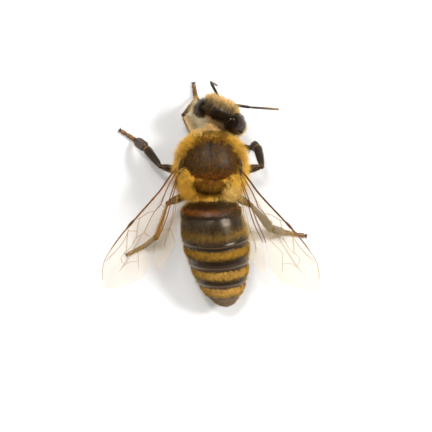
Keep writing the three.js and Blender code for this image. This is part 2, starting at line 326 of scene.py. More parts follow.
def material(name, grain, rough, variety, bump, depth, gloss=0.5, coat=0.0, alpha=1.0,
             cells=None, tone=(1.0, 1.0, 1.0)):
    """The painted tint, varied and roughened by noise. Sizes of grains and cells are in mm."""
    made = bpy.data.materials.new(name)
    made.use_nodes = True
    tree = made.node_tree
    shader = tree.nodes["Principled BSDF"]
    link = tree.links.new

    def node(kind, **settings):
        return add_node(tree, kind, **settings)

    def noise(size, detail):
        new = node("ShaderNodeTexNoise")
        settle(new, Scale=1 / (size * MM), Detail=detail)
        link(place.outputs["Object"], new.inputs["Vector"])
        return new.outputs["Fac"]

    def spread(source, low, high, edge=0.3):
        new = node("ShaderNodeMapRange")
        settle(new, From_Min=edge, From_Max=1 - edge, To_Min=low, To_Max=high)
        link(source, new.inputs["Value"])
        return new.outputs[0]

    place = node("ShaderNodeTexCoord")
    painted = node("ShaderNodeAttribute", attribute_name="tint")
    coarse, fine = noise(grain * 4, 4), noise(grain, 3)

    varied = node("ShaderNodeMix", data_type="RGBA", blend_type="MULTIPLY")
    varied.inputs[0].default_value = 1
    both = node("ShaderNodeMath", operation="MULTIPLY")
    link(spread(coarse, 1 - variety, 1 + variety), both.inputs[0])
    link(spread(fine, 1 - variety * 0.7, 1 + variety * 0.7), both.inputs[1])
    link(painted.outputs["Color"], varied.inputs[6])
    link(both.outputs[0], varied.inputs[7])
    link(varied.outputs[2], shader.inputs["Base Color"])
    link(spread(fine, *rough), shader.inputs["Roughness"])

    height = fine
    if cells:
        facets = node("ShaderNodeTexVoronoi")
        settle(facets, Scale=1 / (cells * MM))
        link(place.outputs["Object"], facets.inputs["Vector"])
        height = spread(facets.outputs["Distance"], 1, 0, 0.1)
    relief = node("ShaderNodeBump")
    settle(relief, Strength=bump, Distance=depth * MM)
    link(height, relief.inputs["Height"])
    link(relief.outputs["Normal"], shader.inputs["Normal"])
    settle(shader, Specular_IOR_Level=gloss, Specular_Tint=(*tone, 1), Coat_Weight=coat,
           Coat_Roughness=LACQUER, Alpha=alpha)
    return made


SHELL = material("shell", 0.03, (0.26, 0.44), 0.2, 0.5, 0.008, coat=0.15)
WARM = (1.0, 0.80, 0.62)  # tone of the shine of dark shell
SATIN = material("satin_shell", 0.02, (0.24, 0.31), 0.2, 0.08, 0.004, gloss=0.68, cells=0.05,
                 tone=WARM)
LEG_SHELL = material("leg_shell", 0.03, (0.24, 0.4), 0.2, 0.5, 0.006, cells=0.06, tone=WARM)
EYE_SHELL = material("compound_eye", 0.05, (0.1, 0.15), 0.15, 0.04, 0.004, gloss=0.34,
                     cells=0.028, tone=WARM)
AMBER = material("amber_shell", 0.03, (0.22, 0.36), 0.22, 0.3, 0.005, coat=0.3)
MEMBRANE = material("wing_membrane", 0.12, (0.2, 0.34), 0.1, 0.3, 0.004, gloss=0.3, alpha=0.1)
VEIN = material("wing_vein", 0.03, (0.35, 0.5), 0.25, 0.4, 0.004, gloss=0.2)
HAIR = material("bee_hair", 0.05, (0.5, 0.7), 0.22, 0.2, 0.002, gloss=0.0)
DARK_HAIR = material("dark_hair", 0.05, (0.36, 0.5), 0.22, 0.2, 0.002, gloss=0.1)
PLUSH = material("thorax_shell", 0.03, (0.32, 0.44), 0.25, 0.5, 0.010, gloss=0.3)


# ---------------------------------------------------------------- colours

GOLD = srgb(255, 208, 86)
PALE_GOLD = srgb(246, 216, 158)
OCHRE = srgb(168, 116, 40)
BROWN_HAIR = srgb(108, 74, 18)
RUFOUS = srgb(92, 52, 10)
UMBER = srgb(64, 44, 22)
BLACK_SHELL = srgb(30, 22, 15)
DARK_SHELL = srgb(54, 44, 37)
BAND = srgb(250, 192, 76)
TAN = srgb(160, 130, 86)
FOOT = srgb(100, 66, 28)
VEIN_BROWN = srgb(136, 84, 26)
CREAM = srgb(255, 224, 150)


# ---------------------------------------------------------------- thorax and neck

# Stations from the back of the head to the waist: middle height, half width, and heights
# of the back above and the breast below that middle.
TRUNK = np.array([
    # y,    x,     z,    half, above, below
    [-2.72, -0.12, 3.05, 0.36, 0.38, 0.36],
    [-2.35, -0.06, 3.02, 0.50, 0.50, 0.48],
    [-2.05, -0.03, 3.00, 0.62, 0.64, 0.60],
    [-1.85, 0.00, 3.02, 0.86, 0.92, 0.84],
    [-1.60, 0.00, 3.08, 1.16, 1.24, 1.06],
    [-1.30, 0.00, 3.12, 1.42, 1.46, 1.24],
    [-0.90, 0.00, 3.16, 1.68, 1.61, 1.38],
    [-0.30, 0.00, 3.20, 1.91, 1.72, 1.50],
    [0.40, 0.00, 3.22, 2.00, 1.74, 1.52],
    [1.00, 0.00, 3.22, 1.90, 1.64, 1.46],
    [1.45, 0.00, 3.20, 1.74, 1.48, 1.36],
    [1.95, 0.00, 3.15, 1.46, 1.20, 1.18],
    [2.30, 0.02, 3.08, 1.12, 0.88, 0.94],
    [2.52, 0.06, 3.05, 0.74, 0.58, 0.62],
    [2.66, 0.10, 3.05, 0.42, 0.36, 0.36],
    [2.86, 0.13, 3.03, 0.34, 0.30, 0.30],
])
SUTURE = 1.40  # groove between the back plate and the scutellum
DISC_CENTRE, DISC_HALF = np.array([-0.03, 0.12]), np.array([2.22, 1.56])


def shield_edge(points):
    """Grows from 0 in the middle of the scutellum to 1 at its rounded hind edge."""
    return np.hypot(points[..., 0] / 1.75, (points[..., 1] - 1.25) / 1.05)


def trunk_rings(rows=170, sides=180):
    """Rings round the neck and thorax, with the seams and the scutellum's swelling."""
    steps = np.linspace(0, 1, rows)
    y = flow(steps, np.linspace(0, 1, len(TRUNK)), TRUNK[:, 0])
    x, z, half, above, below = (flow(y, TRUNK[:, 0], TRUNK[:, k]) for k in range(1, 6))
    angle = np.arange(sides) / sides * TAU
    c, s = superellipse(angle, 2.2)
    height = np.where(s[None] > 0, above[:, None], below[:, None])
    points = np.stack([
        x[:, None] + half[:, None] * c, np.repeat(y[:, None], sides, 1), z[:, None] + height * s
    ], -1)
    px, py, pz = split(points)  # views: a change to one of them moves the points
    top = ramp(np.broadcast_to(s, height.shape), 0.1, 0.5)
    lift = -0.05 * hump(px, 0, 0.05) * ramp(py, -1.6, -1.3) * fall(py, 0.7, 1.1)
    for side in (-1, 1):
        lift -= 0.03 * hump(px, side * 0.85, 0.05) * ramp(py, -0.9, -0.5) * fall(py, 0.9, 1.2)
    seam = SUTURE - 0.16 * px**2
    lift -= 0.12 * hump(py, seam, 0.07) * fall(np.abs(px), 1.1, 1.35)
    shield = ramp(py, seam, seam + 0.14) * fall(shield_edge(points), 0.7, 1.0)
    lift += 0.30 * shield
    lift -= 0.10 * hump(py, 2.40, 0.12) * fall(np.abs(px), 0.8, 1.2)
    arch = 0.1 * px**2
    lift += 0.06 * hump(py, -1.72 + arch, 0.10) - 0.07 * hump(py, -1.48 + arch, 0.07)
    pz += lift * top
    py += 0.12 * shield * ramp(py, 1.9, 2.2) * top
    seams = hump(py, -0.35 + 0.25 * (pz - 3.2), 0.06) + hump(py, 0.85 + 0.2 * (pz - 3.2), 0.06)
    out = unit((points - [0, 0, 3.1]) * [1, 0, 1])
    points -= out * (0.05 * seams * (1 - top))[..., None]
    return Rings(points, y)


def disc_share(points):
    """1 on the dark middle of the thorax's back, 0 in the golden hair round it."""
    x, y = split((points[..., :2] - DISC_CENTRE) / DISC_HALF)
    edge = np.sqrt(x * x + y * y) + 0.06 * mottle(points, 0.5, 5)
    return fall(edge, 0.78, 1.14) * ramp(points[..., 2], 3.3, 3.7)


def suture(points):
    """1 in the bare groove between the back plate and the scutellum."""
    x, y, _ = split(points)
    return hump(y, SUTURE + 0.02 - 0.16 * x**2, 0.07) * fall(np.abs(x), 0.9, 1.25)


def shield_share(points, margin=0.0):
    """1 on the scutellum, and on a margin round it if one is given."""
    x, y, z = split(points)
    share = ramp(y, SUTURE - 0.16 * x * x - 0.05, SUTURE + 0.1)
    return share * ramp(margin - shield_edge(points), -1.12, -0.92) * ramp(z, 3.4, 3.8)


def thorax_tint(points):
    """The markings of the thorax, on its skin and its coat alike."""
    middle = blend(UMBER, RUFOUS, 0.65 * ramp(points[..., 1], 0.75, 1.25))
    # Under the golden coat the skin is gold, painted deeper and warmer as shade under the hair.
    tint = blend(GOLD * [0.9, 0.8, 0.65], middle, disc_share(points))
    inner = fall(shield_edge(points), 0.5, 0.85)
    shield = blend(srgb(74, 46, 18), srgb(140, 94, 32), inner)
    return blend(tint, shield, 0.9 * shield_share(points))


def neck_fold(x):
    """Station of the bent crease across the neck."""
    return -2.53 + np.where(x > 0.13, x - 0.13, 0.1 * (0.13 - x))


def build_trunk():
    rings = trunk_rings()
    points = rings.points
    x, y, _ = split(points)
    arch = y - 0.15 * x**2
    skin = layered(
        BLACK_SHELL,
        (srgb(60, 38, 18), 0.4 + 0.3 * mottle(points, 0.6, 3)),
        (thorax_tint(points), 0.88 - 0.53 * disc_share(points)),
        (srgb(34, 22, 10), 0.9 * suture(points)),
        # Dark along the groove of the middle line: painted shade.
        (srgb(18, 12, 8), 0.9 * hump(x, 0.04, 0.09) * fall(y, -0.3, 0.2)),  # middle line
        (srgb(216, 180, 122), fall(y, -2.02, -1.95)),  # neck
        # A dark line along the crease of the neck under the head: painted shade.
        (srgb(42, 28, 14), 0.9 * hump(y, neck_fold(x), 0.06)),
        (srgb(70, 46, 22), 0.8 * fall(arch, -1.80, -1.68) * ramp(arch, -2.08, -1.94)),
        (srgb(206, 170, 106), 0.7 * hump(arch, -1.66, 0.05)),
    )
    finish_solid(Solid().add(rings, skin), "thorax_skin", PLUSH,
                 ("thorax", "scutellum", "neck"))
    return rings


def build_tegulae():
    for side, mirror in SIDES:
        centre = np.array([mirror * 1.95, 0.17, 4.12])
        rings = ball(centre, (0.14, 0.23, 0.11), 2.3, 22, 30, turn("y", mirror * 34))
        solid = Solid().add(rings, srgb(76, 46, 18))
        hinge = np.array(HINGES[side]["at"])
        for k, (along, size) in enumerate(((0.1, 0.17), (0.34, 0.13), (0.55, 0.10))):
            spot = centre * (1 - along) + hinge * along + [0.0, 0.12 + 0.16 * k, -0.06]
            solid.add(ball(spot, (size, size * 1.4, size * 0.8), 2.2, 12, 16), UMBER)
        finish_solid(solid, f"tegula_shell_{side}", VEIN, (f"tegula_{side}",))


# ---------------------------------------------------------------- head

HEAD = Frame([-0.68, -3.17, 3.05], turn("z", -25.5) @ turn("y", 13) @ turn("x", 8))
HEAD_HALF = (1.30, 0.74, 1.50)
EYE_CENTRE, EYE_HALF, EYE_LEAN = (1.22, 0.26, 0.12), (0.64, 0.72, 1.15), 14
OCELLI = ((0.0, -0.16), (0.24, 0.06), (-0.24, 0.06))


def head_rings(rows=120, sides=150):
    """Rings across the head in its own axes: x to its left, z up and the face to -y."""
    x = np.sin(np.linspace(-1, 1, rows) * math.pi / 2 * 0.985) * HEAD_HALF[0]
    t = np.abs(x / HEAD_HALF[0])
    depth = HEAD_HALF[1] * (1 - t**2.6) ** (1 / 2.6)
    above = HEAD_HALF[2] * (1 - t**3.2) ** (1 / 3.2)
    below = HEAD_HALF[2] * (1 - t**1.55) ** (1 / 1.55)
    angle = np.arange(sides) / sides * TAU
    c, s = superellipse(angle, 2.3)
    height = np.where(s[None] > 0, above[:, None], below[:, None])
    points = np.stack([np.repeat(x[:, None], sides, 1), depth[:, None] * c, height * s], -1)
    px, py, pz = split(points)  # views, as in trunk_rings
    front, back = (ramp(np.broadcast_to(ahead, px.shape), 0.2, 0.7) for ahead in (-c, c))
    clypeus = hump(px, 0, 0.52) * hump(pz, -0.72, 0.42)
    groove = hump(px, 0, 0.05) * ramp(pz, -0.1, 0.2) * fall(pz, 0.9, 1.2)
    outline = hump(np.hypot(px / 0.55, (pz + 0.72) / 0.48), 1.0, 0.10)
    py -= front * (0.12 * clypeus - 0.03 * groove - 0.035 * outline)
    py -= back * 0.16 * hump(px, 0, 0.5) * hump(pz, -0.05, 0.5)
    py += back * 0.03 * hump(np.hypot(px / 0.42, (pz + 0.05) / 0.46), 1.0, 0.12)
    return Rings(points, x)


def head_tint(local):
    """The markings of the head in its own axes, on its skin and coat alike."""
    _, y, z = split(local)
    crown = ramp(z, 0.6, 0.95) * ramp(y, -0.46, -0.22)
    face = blend(TAN, srgb(246, 208, 132), ramp(z, 0.1, 0.9))
    rear = blend(PALE_GOLD, srgb(244, 210, 150), ramp(z, 0.3, 1.1))
    tint = blend(face, rear, ramp(y, -0.05, 0.3))
    return blend(tint, srgb(66, 50, 34), crown)


def build_head():
    rings = head_rings()
    local = rings.points
    lip = hump(local[..., 2], -1.28, 0.14) * fall(local[..., 1], -0.4, -0.1)
    skin = layered(BLACK_SHELL, (head_tint(local) * 0.35, 0.35), (srgb(120, 72, 30), 0.7 * lip))
    world = Rings(HEAD.out(local), rings.stations[:, 0])
    finish_solid(Solid().add(world, skin), "head_capsule", SHELL, ("head",))

    ocelli = Solid()
    for x, y in OCELLI:
        top = flow(abs(x), [0, 0.6, 1.3], [1.50, 1.46, 0.2])
        place = HEAD.out([x, y, top - 0.03])
        ocelli.add(ball(place, (0.095, 0.095, 0.085), 2, 14, 20), srgb(30, 20, 14))
    finish_solid(ocelli, "ocelli", EYE_SHELL, ())

    eyes = {}
    for side, mirror in SIDES:
        centre = np.array(EYE_CENTRE) * [mirror, 1, 1]
        shape = ball(centre, EYE_HALF, 2.1, 90, 110, turn("y", -mirror * EYE_LEAN))
        shade = 0.5 + 0.5 * mottle(shape, 0.5, 8)
        tint = blend(srgb(16, 9, 5), srgb(30, 18, 9), 0.6 * shade)
        eyes[side] = Rings(HEAD.out(shape))
        finish_solid(Solid().add(eyes[side], tint), f"compound_eye_{side}", EYE_SHELL,
                     (f"eye_{side}",))
    return world, eyes


def build_mouth():
    for side, mirror in SIDES:
        path = smooth_path([(mirror * 0.50, -0.36, -1.10), (mirror * 0.42, -0.44, -1.42),
                            (mirror * 0.26, -0.42, -1.66), (mirror * 0.08, -0.38, -1.80)], 22)
        along = np.linspace(0, 1, 22)
        width = 0.19 * flow(along, [0, 0.15, 0.45, 0.8, 0.93, 1], [0.5, 0.95, 0.8, 1.05, 0.8, 0.25])
        rings = HEAD.out(tube(path, width, 18, 0.6, (0, 1, 0)))
        tint = blend(srgb(84, 46, 18), BLACK_SHELL, ramp(along, 0.5, 0.95))[:, None]
        finish_solid(Solid().add(rings, tint), f"mandible_shell_{side}", AMBER,
                     (f"mandible_{side}",))
    mouth = Solid()
    brown = srgb(110, 60, 24)
    for mirror in (-1, 1):
        blade = smooth_path([(mirror * 0.12, -0.10, -1.44), (mirror * 0.15, 0.10, -1.66),
                             (mirror * 0.11, 0.60, -1.66), (mirror * 0.05, 1.02, -1.60)], 26)
        size = 0.11 * flow(np.linspace(0, 1, 26), [0, 0.3, 0.8, 1], [0.9, 1, 0.6, 0.15])
        mouth.add(HEAD.out(tube(blade, size, 14, 0.55)), brown)
        feeler = smooth_path([(mirror * 0.2, 0.0, -1.46), (mirror * 0.26, 0.3, -1.60),
                              (mirror * 0.2, 0.8, -1.60)], 16)
        mouth.add(HEAD.out(tube(feeler, 0.035, 8)), brown)
    tongue = smooth_path([(0, 0.0, -1.5), (0, 0.3, -1.74), (0, 0.8, -1.70), (0, 1.06, -1.62)], 26)
    mouth.add(HEAD.out(tube(tongue, 0.05 + 0.008 * np.sin(np.arange(26) * 2.2), 10)), brown * 1.2)
    finish_solid(mouth, "tongue_and_lips", AMBER, ("proboscis",))


# ---------------------------------------------------------------- antennae

ANTENNAE = {
    "left": ((-0.61, -4.10, 3.35), (-61.5, 165), (4.0, 1.65)),
    "right": ((-1.32, -3.76, 3.40), (172, 178), (3.8, 2.4)),
}
ANTENNA_LENGTHS = (1.5, 2.4)


def limb_end(start, length, heading, height):
    """Where a straight division ends that has this length, heading and height of its end."""
    reach, angle = math.sqrt(length**2 - (height - start[2])**2), math.radians(heading)
    x, y = start[0] + reach * math.cos(angle), start[1] + reach * math.sin(angle)
    return np.array([x, y, height])


def build_antennae():
    for side, (socket, headings, heights) in ANTENNAE.items():
        socket = np.array(socket)
        elbow = limb_end(socket, ANTENNA_LENGTHS[0], headings[0], heights[0])
        tip = limb_end(elbow, ANTENNA_LENGTHS[1], headings[1], heights[1])
        inward = unit(HEAD.origin - socket)
        path = smooth_path([socket + inward * 0.3, socket, elbow - unit(elbow - socket) * 0.06], 40)
        along = np.linspace(0, 1, 40)
        size = flow(along, [0, 0.1, 0.16, 0.3, 0.8, 0.95, 1],
                    [0.10, 0.12, 0.07, 0.088, 0.10, 0.09, 0.04])
        scape = Solid().add(tube(path, size, 16), DARK_SHELL)
        scape.add(ball(socket + inward * 0.14, (0.16, 0.16, 0.16), 2, 12, 20), UMBER)
        finish_solid(scape, f"scape_{side}", LEG_SHELL, (f"antenna_{side}_scape",))
        ahead = unit(tip - elbow)
        end = tip - ahead * 0.05
        start = elbow - ahead * 0.06 - unit(elbow - socket) * 0.03
        path = smooth_path([start, elbow * 0.55 + end * 0.45 + [0, 0, 0.10], end], 180)
        along = np.linspace(0, 1, 180)
        joints = np.abs(((along - 0.10) / 0.90 * 10) % 1 - 0.5) * 2
        size = 0.082 * flow(along, [0, 0.02, 0.10, 0.6, 0.97, 1], [0.5, 0.8, 0.92, 1.0, 0.85, 0.2])
        size = size * (1 - 0.28 * ramp(joints, 0.72, 1.0) * (along > 0.09))
        tint = blend(DARK_SHELL, srgb(150, 120, 88), ramp(along, 0.1, 1.1))[:, None]
        flagellum = Solid().add(tube(path, size, 18), tint)
        finish_solid(flagellum, f"flagellum_{side}", LEG_SHELL,
                     (f"antenna_{side}_flagellum",))


# ---------------------------------------------------------------- abdomen

ABDOMEN = Frame([0.12, 2.72, 3.05], turn("z", 9) @ turn("x", -10))
PROFILE = ([0, 0.2, 0.7, 1.5, 3.1, 4.5, 5.6, 6.3, 7.0, 7.4, 7.55],
           [0.5, 1.4, 2.0, 2.2, 2.34, 2.14, 1.86, 1.55, 1.0, 0.5, 0.12])
RIMS = (0.0, 1.12, 3.22, 4.72, 6.0, 6.85, 7.5)
COAT_DEPTH = 0.10
BACK_HEIGHT, BELLY_HEIGHT, BOW, SKEW, WIDEST = 0.84, 0.74, 0.30, 0.10, 2.3


def abdomen_point(station, angle, half):
    """A point in the abdomen's axes. Its rings bow back in the middle, less so on the left."""
    across = half * np.cos(angle)
    height = np.where(np.sin(angle) > 0, BACK_HEIGHT, BELLY_HEIGHT)
    lead = BOW * (across / WIDEST) ** 2 + SKEW * across
    return np.stack([across, station - lead, np.sin(angle) * half * height], -1)


def plate_rings(index, sides=200):
    """One ring of the abdomen: its outer face, the turned-in hind rim and the inside."""
    first, last = RIMS[index], RIMS[index + 1]
    length = last - first
    outer = np.linspace(0, 1, 60)
    station = first - (0.02 if index == 0 else 0.22) * (1 - outer) ** 2 + outer * length
    rel = last - station
    half = flow(station, *PROFILE) - COAT_DEPTH
    tuck = 0 if index == 0 else 0.07 * (1 - ramp(outer, 0.0, 0.34))
    ridge = 0.028 * hump(rel, 0.24, 0.10) - 0.03 * fall(rel, 0.04, 0.17)
    half = half - tuck + ridge
    lip_station = np.array([last + 0.012, last + 0.008, last - 0.08, last - 0.30])
    lip_half = half[-1] + np.array([-0.015, -0.035, -0.06, -0.12])
    station, half = np.append(station, lip_station), np.maximum(np.append(half, lip_half), 0.02)
    angle = np.arange(sides) / sides * TAU
    step = 0.06 * fall(np.sin(angle), -0.50, -0.42)
    radius = half[:, None] * (1 - step[None] * ramp(half, 0.2, 0.8)[:, None])
    local = abdomen_point(station[:, None], angle[None], radius)
    return Rings(ABDOMEN.out(local), station)


def abdomen_tint(index, spots, coat=False):
    """The markings of the abdomen by ring, on its plates and its coat alike, with the painted light
    and shade noted below.
    """
    station, angle, points = spots.stations, spots.angles, spots.points
    first, last = RIMS[index], RIMS[index + 1]
    along = (station - first) / (last - first)
    ragged = 0.06 * mottle(points, 0.35, 20 + index) + 0.05 * mottle(points, 0.1, 50 + index)
    across, belly = np.cos(angle), fall(np.sin(angle), -0.5, -0.1)
    if index == 0:
        tint = layered(
            srgb(46, 28, 10),
            (RUFOUS, ramp(along + ragged, 0.38, 0.52)),
            (srgb(30, 20, 12), ramp(along + ragged, 0.66, 0.82)),
            (srgb(66, 38, 10), ramp(np.abs(across), 0.72, 0.92)),
            # The bee's right side of the first ring, towards the lamps, is painted olive-grey:
            # painted sheen.
            (srgb(50, 38, 24), 0.8 * fall(across, -0.5, -0.05)),
        )
    elif index == 1:
        tint = blend(srgb(34, 23, 11), BLACK_SHELL, ramp(along, 0.5, 0.9))
    elif index == 5:
        tint = blend(srgb(120, 102, 84), srgb(134, 114, 90), ramp(along, 0.3, 0.9))
    else:
        edge = (0.0, 0.0, 0.38, 0.42, 0.62)[index]
        share = fall(along + ragged, edge - 0.08, edge + 0.13)
        share = share * ramp(along + 0.6 * ragged, 0.04, 0.16)
        rear = blend(BLACK_SHELL, srgb(60, 48, 38), ramp(along, 0.6, 0.9))
        band = blend(BAND * 0.5, blend(BAND, PALE_GOLD, 0.25) * 1.2, (index - 2) / 2)
        tint = blend(rear, band * (1.0 if coat else 0.72), share)
    if 0 < index < 5:
        # A pale line a little before each rim is a painted highlight, where the ridge before the
        # rim catches the light.
        rim_highlight = hump(last - station, 0.17, 0.03) * (1 - belly)
        tint = blend(tint, srgb(150, 118, 80), 0.5 * rim_highlight)
    # The flanks are darker; the bee's left flank, which lies in shade, is painted less dark:
    # painted light.
    flank = (0.6 - 0.35 * (across > 0)) * ramp(np.abs(across), 0.80, 0.97) * (index > 1)
    return layered(tint, (blend(DARK_SHELL, OCHRE, 0.35), flank),
                   (blend(UMBER, OCHRE, fall(along, 0.1, 0.35)), belly))


def build_abdomen():
    plates = []
    for index in range(6):
        rings = plate_rings(index)
        finish_solid(Solid().add(rings, abdomen_tint(index, rings)), f"abdomen_plate_{index + 1}",
                     SATIN if index else PLUSH, (f"abdomen_{index + 1}",))
        plates.append(rings)
    return plates


# ---------------------------------------------------------------- wings

HINGES = {
    "left": dict(at=(2.33, 0.56, 4.05), sweep=33.2),
    "right": dict(at=(-2.08, 0.78, 4.05), sweep=34.8),
}
TIP_FALL, EDGE_FALL = 0.19, 0.06  # slopes of a wing along and across
MEMBRANE_HALF, MEMBRANE_EDGE, THINNEST_VEIN = 0.010, 0.006, 0.012
FOREWING = [(0.22, -0.12), (1.9, -0.14), (3.9, -0.44), (5.6, -0.67), (7.1, -0.77), (8.0, -0.70),
            (8.8, -0.37), (9.35, 0.05), (9.54, 0.42), (9.15, 1.0), (8.4, 1.66), (7.3, 2.16),
            (6.3, 2.04), (5.0, 1.46), (3.4, 1.18), (1.4, 0.60), (0.25, 0.28)]
HINDWING = [(0.5, 0.44), (3.4, 1.29), (5.0, 1.57), (6.0, 2.12), (6.56, 2.6), (6.3, 2.82),
            (5.2, 2.87), (4.2, 2.67), (3.2, 2.19), (2.0, 1.47), (0.9, 0.80)]
# Veins of the forewing: half thickness, then places along and across the wing.
FORE_VEINS = [
    (0.062, [(-0.1, 0.0), (0.8, -0.08), (1.9, -0.11), (3.9, -0.40), (5.0, -0.58)]),
    (0.046, [(4.9, -0.58), (5.6, -0.65), (6.4, -0.72), (7.1, -0.75)]),
    (0.024, [(7.0, -0.75), (8.0, -0.70), (8.8, -0.37), (9.2, -0.08)]),
    (0.036, [(0.1, 0.1), (1.39, 0.2), (2.06, 0.31), (2.62, 0.44), (3.06, 0.39), (3.24, 0.36)]),
    (0.026, [(3.24, 0.36), (3.59, 0.03), (4.2, -0.25), (4.51, -0.52)]),
    (0.026, [(3.24, 0.36), (3.89, 0.37), (4.55, 0.48), (4.88, 0.53)]),
    (0.024, [(4.88, 0.53), (4.92, 0.8), (4.87, 1.1)]),
    (0.022, [(4.88, 0.53), (5.13, 0.45), (5.5, 0.28), (6.19, 0.33)]),
    (0.022, [(2.62, 0.44), (2.66, 0.6), (2.64, 0.78)]),
    (0.022, [(4.2, -0.25), (4.6, -0.12), (5.05, 0.08), (5.49, 0.28)]),
    (0.022, [(5.39, -0.44), (5.2, -0.15), (5.05, 0.08)]),
    (0.024, [(5.26, -0.61), (5.39, -0.44), (5.77, -0.27), (6.72, 0.27)]),
    (0.024, [(5.39, -0.44), (6.05, -0.33), (6.88, -0.38), (8.0, -0.62)]),
    (0.018, [(4.87, 1.1), (5.6, 0.95), (6.21, 0.91), (6.78, 1.29), (7.24, 1.6)]),
    (0.018, [(6.19, 0.33), (7.13, 0.13), (7.47, 0.6), (7.08, 0.83), (6.78, 1.29)]),
    (0.040, [(0.15, 0.28), (1.3, 0.55), (2.2, 0.78), (3.4, 1.08), (4.4, 1.26), (4.95, 1.42)]),
]
HIND_VEINS = [
    (0.036, [(0.6, 0.47), (1.9, 0.86), (3.4, 1.32), (4.8, 1.56)]),
    (0.024, [(0.8, 0.62), (1.7, 1.12), (2.61, 1.57), (3.24, 1.74), (3.65, 1.84)]),
    (0.020, [(3.65, 1.84), (4.03, 1.80), (4.6, 2.05), (5.09, 2.38)]),
    (0.020, [(3.65, 1.84), (4.0, 2.3), (4.28, 2.62)]),
    (0.020, [(3.65, 1.84), (3.95, 1.6), (4.2, 1.44)]),
]
STIGMA = [(4.35, -0.47), (4.7, -0.53), (5.05, -0.58), (5.45, -0.62)]
WINGS = (("fore", FOREWING, FORE_VEINS), ("hind", HINDWING, HIND_VEINS))


def wing_lift(station, across):
    """Height of a wing over its hinge: it falls to the tip and is fluted along its veins."""
    flutes = 0.030 * np.sin(across * 6.5 + 0.8) * ramp(station, 0.4, 1.6)
    cup = 0.04 * np.sin(station * 0.9) * across
    return -(station * TIP_FALL + across * EDGE_FALL) + flutes + cup


def sorted_edge(outline, leading):
    """The leading or trailing edge of a wing, from its hinge to its tip."""
    tip = max(range(len(outline)), key=lambda k: outline[k][0])
    part = outline[: tip + 1] if leading else outline[tip:][::-1]
    kept = [part[0]]
    for point in part[1:]:
        if point[0] > kept[-1][0] + 0.01:
            kept.append(point)
    return zip(*kept)


def build_wings():
    for side, mirror in SIDES:
        hinge = HINGES[side]
        # Both wings are amber towards the base; the left wing, which lies over the bee's shadow, is
        # also painted darker and browner: painted shadow.
        clear = {"left": srgb(236, 200, 132), "right": CREAM}[side]
        stain_and_shadow = {"left": srgb(176, 128, 62), "right": srgb(222, 182, 112)}[side]
        axes = Frame(hinge["at"], turn("z", 90 - mirror * hinge["sweep"]))

        def on_wing(flat, lift=0.0):
            station, across = split(flat)
            height = wing_lift(station, across) + lift
            return axes.out(np.stack([station, across * mirror, height], -1))

        for wing, outline, veins in WINGS:
            edge = smooth_path(outline + outline[:1], 161)[:-1]
            low, high = edge[:, 0].min() + 0.9, edge[:, 0].max() - 1.3
            middle_x = np.clip(edge[:, 0], low, high)
            upper = flow(middle_x, *sorted_edge(outline, leading=True))
            lower = flow(middle_x, *sorted_edge(outline, leading=False))
            spine = np.stack([middle_x, (upper + lower) / 2], -1)
            shares = np.concatenate([[0.03], np.linspace(0.15, 1, 12)])
            thickness = np.where(shares < 0.99, MEMBRANE_HALF, MEMBRANE_EDGE)
            rings, tints = [], []
            for sign, order in ((-1, slice(None)), (1, slice(None, None, -1))):
                for share, thick in zip(shares[order], thickness[order]):
                    flat = spine + (edge - spine) * share
                    rings.append(on_wing(flat, sign * thick))
                    tints.append(blend(clear, stain_and_shadow, 0.8 * fall(flat[:, 0], 1.0, 6.5)))
            membrane = Solid().add(np.array(rings), np.array(tints))
            node = f"{wing}wing_{side}"
            finish_solid(membrane, f"{wing}wing_membrane_{side}", MEMBRANE, (node,))
            tubes = Solid()
            for size, path in veins:
                flat = smooth_path(path, 8 * len(path))
                along = np.linspace(0, 1, len(flat))
                ends = (1 - 0.35 * ramp(along, 0.75, 1)) * (0.4 + 0.6 * ramp(along, 0, 0.03))
                radius = np.maximum(size * ends, THINNEST_VEIN)
                brown = VEIN_BROWN * (0.45 if side == "right" and size > 0.06 else 0.9)
                tint = blend(brown, srgb(176, 132, 76), ramp(flat[:, 0], 4.5, 8.5))[:, None]
                if size < 0.03:
                    tint, radius = blend(tint, srgb(196, 154, 96), 0.6), radius * 0.85
                tubes.add(tube(on_wing(flat), radius, 8, 0.75), tint)
            if wing == "fore":
                stigma = smooth_path(STIGMA, 24)
                swell = 0.085 * np.sin(np.linspace(0.05, 0.98, 24) * math.pi) + 0.01
                tubes.add(tube(on_wing(stigma), swell, 12, 0.4), srgb(96, 64, 32))
            finish_solid(tubes, f"{wing}wing_veins_{side}", VEIN, (node,))


# ---------------------------------------------------------------- legs

LEG_PARTS = ("femur", "tibia", "basitarsus")  # the tarsus beyond them is a piece of its own
ANKLE, TOE = 0.24, 0.20  # heights of its two ends
LEG_LENGTHS = {
    "fore": (2.0, 1.5, 0.95, 1.0),
    "mid": (2.42, 1.9, 1.5, 1.4),
    "hind": (2.3, 2.65, 1.6, 1.53),
}
LEG_WIDTHS = {  # greatest widths of the shell, and its thickness over that width
    "fore": ((0.46, 0.38, 0.32), (0.85, 0.8, 0.6)),
    "mid": ((0.56, 0.58, 0.72), (0.85, 0.75, 0.45)),
    "hind": ((0.56, 0.88, 0.78), (0.8, 0.36, 0.38)),
}
LEGS = {  # hip, headings of the divisions, and heights of the knee and the shin's end
    "fore_left": ((0.95, -1.4, 1.6), (-62, -131, -70, -82), 1.75, 1.14),
    "fore_right": ((-1.1, -1.3, 1.5), (240, -44, 14, -6), 1.35, 0.55),
    "mid_left": ((1.25, 0.95, 1.7), (-14, -52, -37, -33), 2.38, 1.43),
    "mid_right": ((-1.3, 0.85, 1.9), (191, -78, 22, -10), 2.85, 1.7),
    "hind_left": ((0.95, 2.05, 1.9), (24, 71, 38, 27), 2.55, 1.42),
    "hind_right": ((-0.95, 2.05, 1.9), (150, 132, 166, 170), 2.95, 1.45),
}
